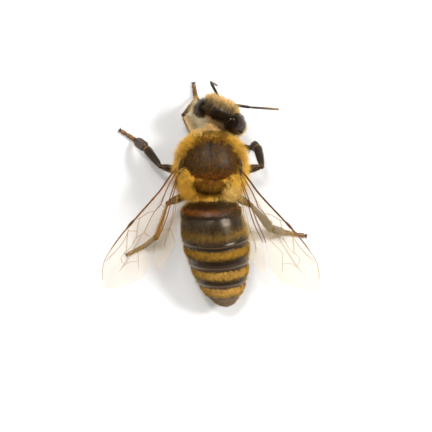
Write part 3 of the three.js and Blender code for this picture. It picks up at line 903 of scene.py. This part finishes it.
LEVELS = {  # up for the flat face of a division that is not turned level
    ("hind_left", "tibia"): (0.95, -0.35, 0.25),
    ("hind_left", "basitarsus"): (0.45, -0.8, 0.4),
    ("hind_right", "tibia"): (-0.5, -0.5, 0.7),
    ("hind_right", "basitarsus"): (-0.2, -0.6, 0.75),
}
LEG_TINTS = {  # of the divisions that are lighter than the rest
    ("hind_left", "tibia"): srgb(158, 108, 38),
    ("hind_left", "basitarsus"): srgb(104, 74, 42),
    ("hind_right", "tibia"): srgb(76, 68, 61),
    ("hind_right", "basitarsus"): srgb(76, 68, 61),
}
SHAPES = {  # share of the greatest width along each division
    "femur": ([0, 0.06, 0.25, 0.6, 0.9, 1], [0.45, 0.72, 0.95, 1.0, 0.72, 0.35]),
    "tibia": ([0, 0.05, 0.35, 0.8, 0.95, 1], [0.35, 0.58, 0.84, 1.0, 0.9, 0.45]),
    "basitarsus": ([0, 0.04, 0.14, 0.65, 0.93, 1], [0.4, 0.82, 1.0, 1.0, 0.76, 0.4]),
    "hind_tibia": ([0, 0.05, 0.4, 0.8, 0.96, 1], [0.25, 0.38, 0.70, 1.0, 0.95, 0.5]),
}


def leg_tint(name, part, along, normals):
    """The colour of each point of a division's shell."""
    base = BLACK_SHELL if part != "basitarsus" else srgb(74, 60, 50)
    if name == "fore_left":
        base = srgb(104, 84, 62)
    base = LEG_TINTS.get((name, part), blend(base, DARK_SHELL, 0.3))
    if (name, part) == ("fore_left", "femur"):
        # Pale on the side towards the lamps and dark on the side facing the bee's left, away from
        # them: painted light and shade.
        outer = ramp(normals[..., 0], 0.35, 0.8)
        return blend(srgb(248, 220, 168), srgb(44, 32, 22), outer)
    pale_end = 0.9 * ramp(along, 0.93, 0.96) * (name.startswith("mid") and part == "tibia")
    return blend(base, srgb(226, 176, 84), pale_end)[:, None]


def build_legs():
    rows = 40
    along = np.linspace(0, 1, rows)
    limbs = {}
    for name, (hip, headings, knee, shin) in LEGS.items():
        pair = name.split("_")[0]
        heights = (knee, shin, ANKLE, TOE)
        points = [np.array(hip)]
        for length, heading, height in zip(LEG_LENGTHS[pair], headings, heights):
            points.append(limb_end(points[-1], length, heading, height))
        widths, flatness = LEG_WIDTHS[pair]
        shell = Solid()
        for k, part in enumerate(LEG_PARTS):
            a, b = points[k:k + 2]
            ahead = unit(b - a)
            bend = np.array([0, 0, 0.06]) * np.sin(along * math.pi)[:, None]
            path = a + (b - a) * (0.02 + 0.96 * along)[:, None] + bend
            shape = SHAPES["hind_tibia" if (pair, part) == ("hind", "tibia") else part]
            width = widths[k] / 2 * flow(along, *shape)
            flat = flatness[k] + (0.85 - flatness[k]) * np.where(along < 0.1, 1 - along / 0.1, 0)
            level = LEVELS.get((name, part), (0, 0, 1))
            rings = Rings(tube(path, width, 28, flat, level), along)
            shell.add(rings, leg_tint(name, part, along, rings.normals))
            limbs[name, part] = rings
            joint = 0.36 * min(widths[k], 0.5)
            shell.add(ball(b - ahead * 0.02, (joint, joint, joint * 0.9), 2, 12, 18), UMBER)
        coxa = smooth_path([np.array(hip) + [0, 0, 0.25], np.array(hip),
                            points[0] * 0.8 + points[1] * 0.2], 16)
        size = 0.28 * flow(np.linspace(0, 1, 16), [0, 0.5, 1], [1, 0.9, 0.6])
        shell.add(tube(coxa, size, 16), UMBER)
        nodes = [f"leg_{name}_{part}" for part in LEG_PARTS]
        finish_solid(shell, f"leg_shell_{name}", LEG_SHELL, nodes)
        build_foot(name, points[3], points[4])
    return limbs


def build_foot(name, ankle, toe):
    """Four small joints, the last with two claws and the pad between them."""
    foot = Solid()
    ahead = unit(toe - ankle)
    side = unit(np.cross([0, 0, 1], ahead))
    shares = (0.0, 0.19, 0.35, 0.49, 0.86)
    along = np.linspace(0, 1, 14)
    for k in range(4):
        a, b = ankle + (toe - ankle) * shares[k], ankle + (toe - ankle) * (shares[k + 1] + 0.012)
        path = a + (b - a) * along[:, None] + np.array([0, 0, -0.05])
        size = flow(along, [0, 0.1, 0.7, 0.94, 1], [0.07, 0.10, 0.14, 0.125, 0.06])
        size = size * (1.25 if k < 3 else 1.1)
        tint = blend(FOOT, srgb(166, 122, 66), 0.6 * along)[:, None]
        foot.add(tube(path, size, 16, 0.8), tint)
    wrist = ankle + (toe - ankle) * 0.85 + [0, 0, -0.05]
    for mirror in (-1, 1):
        claw = smooth_path([
            wrist, wrist + ahead * 0.10 + side * mirror * 0.09 + [0, 0, 0.02],
            wrist + ahead * 0.20 + side * mirror * 0.15 + [0, 0, -0.03],
            wrist + ahead * 0.23 + side * mirror * 0.17 + [0, 0, -0.11],
        ], 18)
        size = 0.036 * flow(np.linspace(0, 1, 18), [0, 0.5, 1], [1, 0.8, 0.12])
        foot.add(tube(claw, size, 10), srgb(60, 34, 14))
    pad = ball(wrist + ahead * 0.12 + [0, 0, -0.075], (0.085, 0.085, 0.05), 2.2, 14, 20)
    foot.add(pad, srgb(92, 56, 24))
    for step in (-2.0, 0.0, 2.0):
        spot = (ankle + toe) / 2 + ahead * 0.1 * step
        ends = [spot + [0, 0, -0.04], spot * [1, 1, 0] + [0, 0, 0.012]]
        foot.add(tube(ends, (0.05, 0.03), 10, 1.0, ahead), FOOT)
    finish_solid(foot, f"foot_{name}", AMBER, (f"leg_{name}_tarsus",))


trunk = build_trunk()
build_tegulae()
head, eyes = build_head()
build_mouth()
build_antennae()
plates = build_abdomen()
build_wings()
limbs = build_legs()


# ---------------------------------------------------------------- coat

class Coat:
    """Gathers tufts of thin curved hairs, each hair a closed spike, into one mesh."""

    PATCH = 0.003  # size of a tuft on the OFBake map
    ROOT_DEPTH = 0.02  # how far under the skin a hair starts
    TAPER = 0.72  # width of a bent hair at its middle, over its width at the root
    SINK = 0.35  # share of the curl that turns a tip down to the skin
    ROUND = 0.5  # how far a hair's own roundness turns its shading from the skin's
    WARMTH = np.array([1.0, 1.3, 1.6])  # the roots are painted darker and redder than the tips, as painted shade in the coat
    # A bent hair has two rings of three points and a tip; a straight one has only the first.
    CORNERS = {  # of a hair on the map
        True: [[0, 0], [0.5, 0], [1, 0], [0, 0.5], [0.5, 0.5], [1, 0.5], [0.5, 1]],
        False: [[0, 0], [0.5, 0], [1, 0], [0.5, 1]],
    }
    FACES = {
        True: [[0, 2, 1], [0, 1, 4], [0, 4, 3], [1, 2, 5], [1, 5, 4], [2, 0, 3], [2, 3, 5],
               [3, 4, 6], [4, 5, 6], [5, 3, 6]],
        False: [[0, 2, 1], [0, 1, 3], [1, 2, 3], [2, 0, 3]],
    }

    def __init__(self, seed, cells=1):
        self.rng = np.random.default_rng(seed)
        self.cells, self.used, self.count = cells, 0, 0
        self.points, self.tints, self.faces, self.maps, self.normals = [], [], [], [], []

    def grow(self, rings, tufts, each, density, length, lie, tint, rise=0.4, width=0.0065,
             curl=0.3, spread=0.04, fray=0.2, pale=0.25, dark=0.6, limit=None, gather=0.7,
             variety=0.3, bent=True, loose=0.0, lift=0.0):
        """Roots tufts on a surface. Density is a function of places on the rings; length, lie,
        tint and rise are functions of the roots, or one value for the whole coat. Rise is how
        upright the hairs are, curl how far their tips lie down, fray how uneven their headings
        are, spread the width of a tuft's foot, gather how far its tips come together, pale the
        tips against the tint, dark the painted shade of the roots against it, and lift turns
        their shading to the sky."""
        rng = self.rng
        roots = Roots(rings, tufts, density, rng)
        normal, total = roots.normals, tufts * each

        def given(value, *shape):
            value = value(roots) if callable(value) else value
            return np.broadcast_to(np.asarray(value, float), (tufts, *shape))

        def along_skin(v):
            return v - normal * (v * normal).sum(-1, keepdims=True)

        def every(a):
            return np.repeat(a, each, axis=0)

        lean = unit(along_skin(given(lie, 3)))
        upright = np.clip(given(rise) + rng.normal(0, 0.10, tufts), 0.04, 1)[:, None]
        heading = unit(normal * upright + lean * (1 - upright) + rng.normal(0, fray, (tufts, 3)))
        size = given(length) * rng.uniform(0.72, 1.12, tufts)
        if limit:
            room = limit(roots.points, heading)
            size = np.minimum(size, room * rng.uniform(0.6 - 0.2 * loose, 1.15 + loose, tufts))
        colour = given(tint, 3) * rng.uniform(1 - variety, 1 + variety, (tufts, 1))

        normal, lean, heading = every(normal), every(lean), every(heading)
        off = along_skin(rng.normal(0, spread, (total, 3)))
        size = (every(size) * rng.uniform(0.75, 1.1, total))[:, None]
        root = every(roots.points) + off - normal * self.ROOT_DEPTH
        first = unit(heading + rng.normal(0, fray * 0.45, (total, 3)))
        second = unit(first + lean * curl - normal * curl * self.SINK)
        middle = root + first * size * 0.5 - off * gather * 0.4
        tip = middle + second * size * 0.5 - off * gather * 0.6

        facing = unit(normal + [0, 0, lift])
        across = unit(np.cross(first, normal + [0.013, 0.007, 0.011]))
        other = np.cross(first, across)
        points, normals = [], []
        for place, radius in ((root, width), (middle, width * self.TAPER))[:1 + bent]:
            for turned in (0, TAU / 3, 2 * TAU / 3):
                around = across * math.cos(turned) + other * math.sin(turned)
                points.append(place + around * radius)
                normals.append(unit(facing + around * self.ROUND))
        points.append(tip)
        normals.append(unit(facing + first * self.ROUND))

        colour = every(colour) * rng.uniform(0.85, 1.15, (total, 1))
        # Roots are darkened and reddened, middles half as much: painted shade deep in the coat.
        deep = dark**self.WARMTH
        shades = [colour * deep] * 3 + [colour * (1 + deep) / 2] * 3 * bent + [colour * (1 + pale)]
        faces = np.arange(total)[:, None, None] * len(points) + np.array(self.FACES[bent])
        cell = np.array([self.used % self.cells, self.used // self.cells])
        corner = (cell + every(roots.map) * (1 - self.PATCH * self.cells)) / self.cells
        self.faces.append((faces + self.count).reshape(-1, 3))
        uvs = corner[:, None] + np.array(self.CORNERS[bent]) * self.PATCH
        self.maps.append(uvs.reshape(-1, 2))
        for kept, made in ((self.points, points), (self.tints, shades), (self.normals, normals)):
            kept.append(np.stack(made, axis=1).reshape(-1, 3))
        self.count += total * len(points)
        self.used += 1

    def finish(self, name, nodes, slot, hair=HAIR):
        faces = np.vstack(self.faces)
        piece(name, np.vstack(self.points), faces.tolist(), np.vstack(self.tints), hair,
              nodes, np.vstack(self.maps)[faces.ravel()], np.vstack(self.normals))


def some(seed, roots, share):
    """Picks a share of the roots."""
    return np.random.default_rng(seed).random(roots.count) < share


def thorax_room(points, heading):
    """How far a hair can grow on its heading before it leaves a rounded envelope."""
    centre, half, power = [0, 0.68, 3.2], [2.62, 2.67, 1.95], 2.6
    low, high = np.zeros(len(points)), np.full(len(points), 3.0)
    for _ in range(14):
        middle = (low + high) / 2
        at = np.abs((points + heading * middle[:, None] - centre) / half)
        inside = (at**power).sum(-1) < 1
        low, high = np.where(inside, middle, low), np.where(inside, high, middle)
    return low


def thorax_coat():
    """Golden hair stands out round the thorax; the middle of its back has short brown hair."""
    def corner(roots):
        x, y, z = split(roots.points)
        return ramp(y, 0.9, 1.7) * ramp(np.abs(x), 0.4, 1.0) * fall(z, 4.0, 4.5)

    def outward(roots):
        x, y, z = split(roots.points - [0, 0.35, 3.3])
        wide, raised = corner(roots), 0.35 * fall(roots.points[:, 1], 1.0, 1.7)
        y = y * (1 - 0.1 * wide) + (0.5 - 0.3 * wide)
        return np.stack([x * (1 + 0.7 * wide), y, z * 0.35 + raised], -1)

    def length(roots):
        x, y, z = split(roots.points)
        rear = ramp(y, 1.4, 2.2)
        front = fall(y, -1.6, -0.9) * fall(np.abs(x), 0.5, 1.6)
        size = 0.56 + 0.45 * ramp(np.abs(x), 1.0, 1.9) * (1 - rear) - 0.26 * front + 0.3 * rear
        size = size - 0.22 * fall(z, 1.7, 2.4)
        size = size + 0.35 * rear * ramp(np.abs(x), 0.5, 1.2) + 0.45 * corner(roots)
        size = size * (1 - 0.3 * ramp(z, 4.1, 4.4) * ramp(y, 0.9, 1.4))
        return size * (1 - 0.2 * shield_share(roots.points, 0.12))

    def stand(roots):
        x, y, _ = split(roots.points)
        rear = ramp(y, 1.2, 1.8)
        side = 0.16 * ramp(np.abs(x), 1.2, 1.9) * (1 - rear)
        return 0.52 + side - 0.2 * rear - 0.06 * shield_share(roots.points, 0.12)

    def gold(roots):
        x, y, z = split(roots.points)
        rear = ramp(y, 1.2, 2.0) * (0.15 + 0.3 * fall(x, -1.2, -0.2))
        side = 0.2 * ramp(np.abs(x), 1.2, 2.0) * fall(y, 0.8, 1.2)
        tint = blend(GOLD, PALE_GOLD, rear + side + 0.2 * fall(z, 2.0, 3.0))
        # Towards the rear and the bee's left, where the coat lies in shade, the gold is painted
        # more orange and brighter: painted warm shade and painted light.
        tint = blend(tint, srgb(255, 186, 64), 0.5 * ramp(y, 0.8, 1.6) * ramp(x, -0.6, 0.4))
        tint = tint * (1.4 + 0.8 * ramp(y, 1.0, 1.8) + 0.5 * ramp(x, 0.3, 1.5))[:, None]
        tint = blend(tint, OCHRE, 0.7 * ramp(disc_share(roots.points), 0.05, 0.8))
        reach = np.linalg.norm((roots.points[:, :2] - DISC_CENTRE) / DISC_HALF, axis=1)
        near = fall(reach, 1.05, 1.5) * fall(y, -0.6, 0.9)
        tint = blend(tint, srgb(150, 100, 34), (0.45 + 0.1 * fall(y, -1.2, -0.5)) * near)
        middle = fall(np.abs(x + 0.1), 0.7, 1.3)
        share = 0.07 + middle * (0.85 * fall(y, -1.1, -0.8) + 0.25 * ramp(y, 1.85, 2.1))
        return blend(tint, srgb(92, 56, 16), 0.85 * some(7, roots, share))

    def golden(spots):
        points, station = spots.points, spots.stations
        share = 1 - disc_share(points)
        share = share * ramp(station, -2.0, -1.4) * fall(station, 2.45, 2.75)
        bare = fall(np.abs(points[..., 0] - 0.15), 0.85, 1.15)
        share = share * (1 - bare * shield_share(points, 0.12)) * (1 - 0.9 * suture(points))
        return share * (0.25 + 0.75 * ramp(points[..., 2], 1.6, 2.6))

    sectors = {
        "left": lambda x, y, _: (x >= 0) * (y > -1.1) * (y < 1.35),
        "right": lambda x, y, _: (x < 0) * (y > -1.1) * (y < 1.35),
        "front": lambda x, y, _: y <= -1.1,
        "rear": lambda x, y, _: y >= 1.35,
    }
    for seed, (name, inside) in enumerate(sectors.items()):
        coat = Coat(100 + seed)
        coat.grow(trunk, 2100, 6, lambda spots: golden(spots) * inside(*split(spots.points)),
                  length, outward, gold, rise=stand, width=0.008, curl=0.45, spread=0.06,
                  fray=0.3, pale=0.95, dark=0.75, limit=thorax_room, loose=0.6, variety=0.4,
                  gather=0.8, lift=3.2)
        coat.finish(f"thorax_hair_{name}", ("thorax",), "golden_coat")

    def disc(spots):
        share = disc_share(spots.points) * (0.75 + 0.25 * mottle(spots.points, 0.5, 6))
        return share * (1 - 0.9 * suture(spots.points))

    def brown(roots):
        x, y, _ = split(roots.points)
        tint = blend(BROWN_HAIR, srgb(146, 84, 22), 0.8 * ramp(y, 0.6, 1.2))
        # Dark hair along the groove of the middle line: painted shade.
        tint = blend(tint, srgb(34, 22, 12), 0.95 * hump(x, 0.04, 0.1) * fall(y, -0.3, 0.1))
        return blend(tint, OCHRE, 0.35 * (1 - disc_share(roots.points)))

    coat = Coat(110)
    coat.grow(trunk, 7400, 3, disc, 0.17, (0, 1, 0), brown, rise=0.42, width=0.0075,
              spread=0.02, fray=0.35, pale=0.8, dark=0.4, variety=0.6, bent=False)
    coat.finish("thorax_hair_back", ("thorax",), "brown_coat", DARK_HAIR)

    coat = Coat(111)
    coat.grow(trunk, 1000, 5, lambda spots: shield_share(spots.points), 0.32, (0, 1, 0.1),
              lambda roots: thorax_tint(roots.points) * 1.15, rise=0.42, width=0.007, curl=0.4,
              fray=0.3, variety=0.5, pale=0.6)
    coat.finish("scutellum_hair", ("scutellum",), "brown_coat")


def clear_of_eyes(local):
    """Which points in the head's axes are outside both eyes."""
    near = np.full(local.shape[:-1], 1e9)
    for _, mirror in SIDES:
        own = (local - np.array(EYE_CENTRE) * [mirror, 1, 1]) @ turn("y", -mirror * EYE_LEAN)
        near = np.minimum(near, np.linalg.norm(own / (np.array(EYE_HALF) * 1.04), axis=-1))
    return near > 1


def face_coat():
    def forward(spots):
        local = HEAD.back(spots.points)
        _, y, z = split(local)
        share = fall(y, -0.05, 0.15) * clear_of_eyes(local)
        return share * (0.35 + 0.65 * ramp(z, -0.2, 0.6)) * ramp(z, -1.5, -1.2)

    def length(roots):
        _, y, z = split(HEAD.back(roots.points))
        size = 0.16 + 0.40 * ramp(z, -0.2, 0.9) * fall(y, -0.3, 0.1)
        return size * np.random.default_rng(10).uniform(0.5, 1.3, roots.count)

    def lie(roots):
        return np.array([0, -0.7, 0.8]) @ HEAD.turned.T + (roots.points - HEAD.origin) * 0.3

    def tint(roots):
        pale = blend(head_tint(HEAD.back(roots.points)) * 1.5, srgb(206, 180, 130), 0.25)
        return blend(pale, srgb(62, 46, 28), 0.85 * some(8, roots, 0.18))

    coat = Coat(200)
    coat.grow(head, 1800, 7, forward, length, lie, tint, rise=0.6, curl=0.25, spread=0.035,
              fray=0.4, pale=2.2, dark=0.5, variety=0.6, gather=0.9, lift=1.8)
    coat.finish("face_hair", ("head",), "brown_coat")


def nape_coat():
    def behind(spots):
        local = HEAD.back(spots.points)
        _, y, z = split(local)
        return ramp(y, 0.0, 0.25) * clear_of_eyes(local) * ramp(z, -1.4, -1.0)

    def lie(roots):
        return (roots.points - HEAD.origin) * [1, 1, 0.6] + [0, 0.5, 0.15]

    def tint(roots):
        local = HEAD.back(roots.points)
        # The hair is painted brighter towards the head's left, the side in shade: painted light.
        return head_tint(local) * (0.8 + ramp(local[:, 0], -0.1, 0.4))[:, None]

    def cheek(spots):
        x, y, z = split(HEAD.back(spots.points))
        left = ramp(x, 0.1, 0.4) * fall(x, 0.7, 0.95) * fall(z, -0.1, 0.5)
        return ramp(y, 0.3, 0.5) * (0.15 * fall(z, -0.3, 0.2) + left) * ramp(z, -1.2, -0.9)

    coat = Coat(201, 2)
    coat.grow(head, 1500, 5, behind, 0.34, lie, tint, rise=0.6, width=0.007, curl=0.35,
              spread=0.035, fray=0.32, variety=0.5, gather=0.9, pale=0.5, lift=1.2)
    # Pale hair behind the head's left, its tint raised past white for the light that shines through
    # it: painted light.
    coat.grow(head, 1300, 5, cheek, 1.1, HEAD.turned @ [0.5, 1, -0.1],
              srgb(255, 238, 196) * 1.3, width=0.007, curl=0.2, spread=0.05, fray=0.3,
              gather=0.9, variety=0.4, dark=1.0, lift=4.0)
    coat.finish("nape_hair", ("head",), "golden_coat")


def eye_coat():
    """A pale fringe behind each eye, and the short hair that stands on the eyes themselves."""
    beard, lashes = Coat(204, 2), Coat(202, 2)
    for (side, mirror), longest in zip(SIDES, (0.62, 0.34)):
        back = HEAD.turned @ [mirror * 0.75, 0.65, 0.1]

        def behind(spots):
            turned_back = ramp(spots.normals @ back, 0.25, 0.6)
            return turned_back * fall(spots.normals[..., 2], -0.05, 0.22)

        beard.grow(eyes[side], 460, 5, behind,
                   lambda roots: np.random.default_rng(9).uniform(0.12, longest, roots.count),
                   back + [0, 0, 0.35], srgb(255, 232, 182), rise=0.5, spread=0.03, fray=0.45,
                   dark=1.0, gather=0.9, lift=4.0)
        lashes.grow(eyes[side], 1000, 2,
                    lambda spots: 1.02 - np.clip(spots.normals[..., 2], 0, 1) ** 2, 0.18,
                    (0, 0, 1), srgb(104, 74, 38), rise=0.8, width=0.005, curl=0.1, bent=False)
    beard.finish("cheek_hair", ("head",), "golden_coat")
    lashes.finish("eye_hair", (), "brown_coat")


def neck_coat():
    def collar(spots):
        x, station = spots.points[..., 0], spots.stations
        share = fall(station, -2.05, -1.95) * ramp(station, -2.6, -2.3)
        return share * (1 - hump(station, neck_fold(x), 0.09))

    def shoulders(spots):
        x, _, z = split(spots.points)
        share = fall(spots.stations, -1.65, -1.5) * ramp(spots.stations, -2.05, -1.95)
        return share * ramp(np.abs(x), 0.45, 0.7) * ramp(z, 2.4, 3.0)

    def shoulder_tint(roots):
        return blend(srgb(110, 78, 36), srgb(246, 204, 124), roots.points[:, 0] > 0)

    coat = Coat(203, 2)
    coat.grow(trunk, 520, 5, collar, 0.3,
              lambda roots: roots.points * [1.2, 0, 0] + [0.1, -0.5, 0.1],
              srgb(240, 202, 136), curl=0.5, fray=0.22, gather=0.9, variety=0.5, lift=0.5)
    coat.grow(trunk, 320, 6, shoulders, lambda roots: 0.55 + 0.08 * (roots.points[:, 0] > 0),
              lambda roots: roots.points * [1.6, 0, 0] + [0, -0.9, 0.1], shoulder_tint,
              width=0.0075, curl=0.5, fray=0.34, gather=0.9, dark=0.7, variety=0.5, lift=0.9)
    coat.finish("neck_hair", ("neck",), "golden_coat")


def abdomen_coat():
    """Bands of pale hair, bare rims between them, a fringe along the flanks and a belly coat."""
    rear = unit(np.array([0, 1.0, 0])) @ ABDOMEN.turned.T
    edges = (1.0, 0.78, 0.40, 0.42, 0.66, 0.95)  # share of each ring at which its band ends

    def place(spots, index, depth):
        """Share of the way along a ring, a little uneven."""
        first, last = RIMS[index:index + 2]
        along = (spots.stations - first) / (last - first)
        return along + depth * mottle(spots.points, 0.3, 40 + index)

    def band(spots):
        along, start = place(spots, index, 0.03), 0.04 if 1 < index < 5 else -0.15
        share = fall(along, edges[index] - 0.05, edges[index] + 0.12)
        return share * ramp(along, start - 0.05, start + 0.1) * (np.sin(spots.angles) > -0.42)

    def first_length(roots):
        return 0.16 + 0.12 * ramp(np.abs(np.cos(roots.angles)), 0.4, 0.9)

    def first_tint(roots):
        return layered(srgb(78, 52, 22),
                       (srgb(158, 92, 22), ramp(roots.stations, 0.4, 0.55)),
                       (srgb(92, 70, 40), ramp(roots.stations, 0.76, 0.92)),
                       # The bee's right side, towards the lamps, is painted olive-grey: painted
                       # sheen.
                       (srgb(104, 82, 50), 0.7 * fall(np.cos(roots.angles), -0.5, -0.05)))

    def olive(spots):
        along, across = place(spots, 1, 0.05), np.cos(spots.angles)
        share = 0.8 * ramp(along, 0.2, 0.62) * fall(along, 0.56, 0.74)
        share = 0.03 + 0.06 * ramp(across, -0.1, 0.3) + share
        share = share + 0.2 * ramp(np.abs(across), 0.8, 0.95)
        return share * fall(along, 0.7, 0.8) * (np.sin(spots.angles) > -0.42)

    def olive_tint(roots):
        return blend(srgb(116, 92, 50), srgb(166, 130, 64), ramp(roots.stations, 1.7, 2.2))

    def banded(roots):
        tint = abdomen_tint(index, roots, True)
        return blend(tint, srgb(84, 58, 28), 0.8 * some(60 + index, roots, 0.14))

    for index, rings in enumerate(plates):
        coat = Coat(300 + index)
        if index == 0:
            coat.grow(rings, 2400, 4, band, first_length, rear, first_tint, rise=0.3, width=0.007,
                      curl=0.4, spread=0.05, variety=0.8, dark=0.5, bent=False)
        elif index == 1:
            coat.grow(rings, 6000, 3, olive, 0.25, rear, olive_tint, rise=0.16, width=0.0045,
                      curl=0.1, spread=0.06, variety=0.6, pale=0.4, bent=False, gather=0.0)
        elif index < 5:
            coat.grow(rings, 4200, 4, band, 0.19, rear, banded, rise=0.16, curl=0.1, spread=0.09,
                      fray=0.26, variety=0.5, pale=0.6, dark=0.7, bent=False, lift=0.8, gather=0.2)
        else:
            coat.grow(rings, 1800, 4, band, 0.20, rear, srgb(182, 154, 118), rise=0.16, curl=0.1,
                      fray=0.12, spread=0.03, bent=False)
        coat.finish(f"abdomen_hair_{index + 1}", (f"abdomen_{index + 1}",), "banded_coat")

    def flank(spots):
        share = hump(np.abs(np.cos(spots.angles)), 1.0, 0.05) * (np.sin(spots.angles) > -0.5)
        first, last = RIMS[index:index + 2]
        share = share * ramp(last - spots.stations, 0.0, 0.15)
        return share * ramp(spots.stations, first - 0.1, first + 0.1)

    def under(spots):
        low = fall(np.sin(spots.angles), -0.55, -0.4)
        return low * ramp(RIMS[index + 1] - spots.stations, 0.05, 0.2)

    fringe, belly = Coat(320, 3), Coat(330, 3)
    pale = blend(GOLD, PALE_GOLD, 0.5)
    for index, rings in enumerate(plates):
        fringe.grow(rings, 360, 3, flank, 0.28 if index < 4 else 0.22, rear, pale, rise=0.36,
                    width=0.0045, curl=0.4, spread=0.05, fray=0.26, dark=0.9, bent=False, lift=0.5)
        belly.grow(rings, 440, 4, under, 0.24, rear, pale, rise=0.3, width=0.013, spread=0.05,
                   bent=False)
    fringe.finish("flank_hair", (), "banded_coat")
    belly.finish("belly_hair", (), "banded_coat")


def leg_coat():
    """Short hair along each leg, longer on the hind shins and pale on the lit legs."""
    lengths = {"femur": 0.26, "tibia": 0.15, "basitarsus": 0.13}

    def rims(spots):
        rim = hump(np.abs(np.cos(spots.angles)), 1.0, 0.16)
        return 0.05 + rim if shin else 0.5 + 0.5 * rim

    for seed, (side, _) in enumerate(SIDES):
        coat = Coat(400 + seed, 4)
        for (name, part), rings in limbs.items():
            if not name.endswith(side):
                continue
            if (name, part) == ("fore_left", "femur"):
                coat.grow(rings, 420, 4, lambda spots: fall(spots.normals[..., 0], -0.5, 0), 0.5,
                          (-0.8, -0.5, 0.1), srgb(255, 234, 184), rise=0.5, spread=0.03,
                          fray=0.34, variety=0.4, dark=1.0, lift=3.5)
            shin = name.startswith("hind") and part == "tibia"
            tint = srgb(220, 176, 108) if part == "femur" else srgb(112, 90, 64)
            size, tufts = (0.26 if shin else lengths[part]), 320
            if name == "fore_left" or (name, part) == ("hind_left", "tibia"):
                tint, size, tufts = srgb(240, 190, 110), size * 1.25, 600
            if name == "hind_right":
                tint = srgb(150, 134, 112)
            straight = unit(rings.points[-1].mean(0) - rings.points[0].mean(0))
            coat.grow(rings, tufts, 2, rims, size, straight, tint, rise=0.35, width=0.006,
                      bent=False)
        coat.finish(f"leg_hair_{side}", (), "dark_shell")


thorax_coat()
face_coat()
nape_coat()
eye_coat()
neck_coat()
abdomen_coat()
leg_coat()


# ---------------------------------------------------------------- floor, light and camera

FOCUS = np.array([-0.34, 3.81, 0.0]) + SHIFT
CAMERA_HEIGHT, LENS, SENSOR, CLIP = 150.0, 179.5, 36.0, (0.005, 5.0)
FLOOR_SIZE, FLOOR_GREY, FLOOR_GLOW = 2.0, 0.88, 0.13
LAMPS = {  # direction, distance, diameter and level of each
    "key": ((-0.64, -0.22, 0.74), 0.45, 0.24, 0.12),
    "core": ((-0.64, -0.22, 0.74), 0.45, 0.09, 0.42),
    "spark_a": ((0.10, -0.34, 0.93), 0.55, 0.09, 0.25),
    "spark_b": ((0.22, -0.42, 0.87), 0.55, 0.05, 0.10),
    "spark_c": ((-0.02, -0.50, 0.85), 0.55, 0.05, 0.06),
    "fill": ((0.55, -0.15, 0.80), 0.50, 0.50, 0.12),
}
TENT_RIM, TENT_TOP, TENT_TINT = 0.42, 0.10, (1, 0.93, 0.84, 1)


def build_floor():
    """White to the camera and in reflections, and pale grey to the lamps."""
    bpy.ops.mesh.primitive_plane_add(size=FLOOR_SIZE, location=(0, 0, 0))
    floor = bpy.context.object
    floor.name = "floor"
    made = bpy.data.materials.new("floor")
    made.use_nodes = True
    tree = made.node_tree
    shader = tree.nodes["Principled BSDF"]
    settle(shader, Base_Color=(FLOOR_GREY, FLOOR_GREY, FLOOR_GREY, 1), Roughness=0.9,
           Specular_IOR_Level=0.1, Emission_Color=(1, 1, 1, 1))
    rays = tree.nodes.new("ShaderNodeLightPath").outputs

    def maths(operation, first, second):
        new = add_node(tree, "ShaderNodeMath", operation=operation)
        tree.links.new(first, new.inputs[0])
        if isinstance(second, float):
            new.inputs[1].default_value = second
        else:
            tree.links.new(second, new.inputs[1])
        return new.outputs[0]

    seen = maths("MAXIMUM", rays["Is Camera Ray"], rays["Is Glossy Ray"])
    seen = maths("MAXIMUM", seen, rays["Is Transmission Ray"])
    glow = maths("MULTIPLY", seen, FLOOR_GLOW)
    tree.links.new(glow, shader.inputs["Emission Strength"])
    floor.data.materials.append(made)


def build_light(name, direction, distance, size, level):
    """A round softbox that lights a level white surface to the given share of full white."""
    direction = unit(np.array(direction, float))
    data = bpy.data.lights.new(name, "AREA")
    data.shape = "DISK"
    data.size = size
    data.energy = level * math.pi**2 * distance**2 / direction[2]
    lamp = bpy.data.objects.new(name, data)
    lamp.location = direction * distance
    lamp.rotation_euler = Vector(direction).to_track_quat("Z", "Y").to_euler()
    lamp.visible_camera = False
    bpy.context.scene.collection.objects.link(lamp)


def build_world():
    """A light tent: bright white round the horizon and dimmer overhead."""
    world = bpy.data.worlds.new("studio")
    world.use_nodes = True
    tree = world.node_tree
    place = tree.nodes.new("ShaderNodeTexCoord")
    parts = tree.nodes.new("ShaderNodeSeparateXYZ")
    strength = add_node(tree, "ShaderNodeMapRange", interpolation_type="SMOOTHSTEP")
    settle(strength, From_Min=0.1, From_Max=0.9, To_Min=TENT_RIM, To_Max=TENT_TOP)
    tree.links.new(place.outputs["Generated"], parts.inputs[0])
    tree.links.new(parts.outputs["Z"], strength.inputs["Value"])
    background = tree.nodes["Background"]
    tree.links.new(strength.outputs[0], background.inputs["Strength"])
    background.inputs["Color"].default_value = TENT_TINT
    bpy.context.scene.world = world


def build_camera():
    data = bpy.data.cameras.new("camera")
    data.lens, data.sensor_width = LENS, SENSOR
    data.clip_start, data.clip_end = CLIP
    camera = bpy.data.objects.new("camera", data)
    camera.location = (FOCUS + [0, 0, CAMERA_HEIGHT]) * MM
    camera.rotation_euler = (0, 0, math.pi)
    bpy.context.scene.collection.objects.link(camera)
    bpy.context.scene.camera = camera


build_floor()
for lamp_name, lamp_settings in LAMPS.items():
    build_light(lamp_name, *lamp_settings)
build_world()
build_camera()
bpy.context.scene.view_settings.view_transform = "Standard"
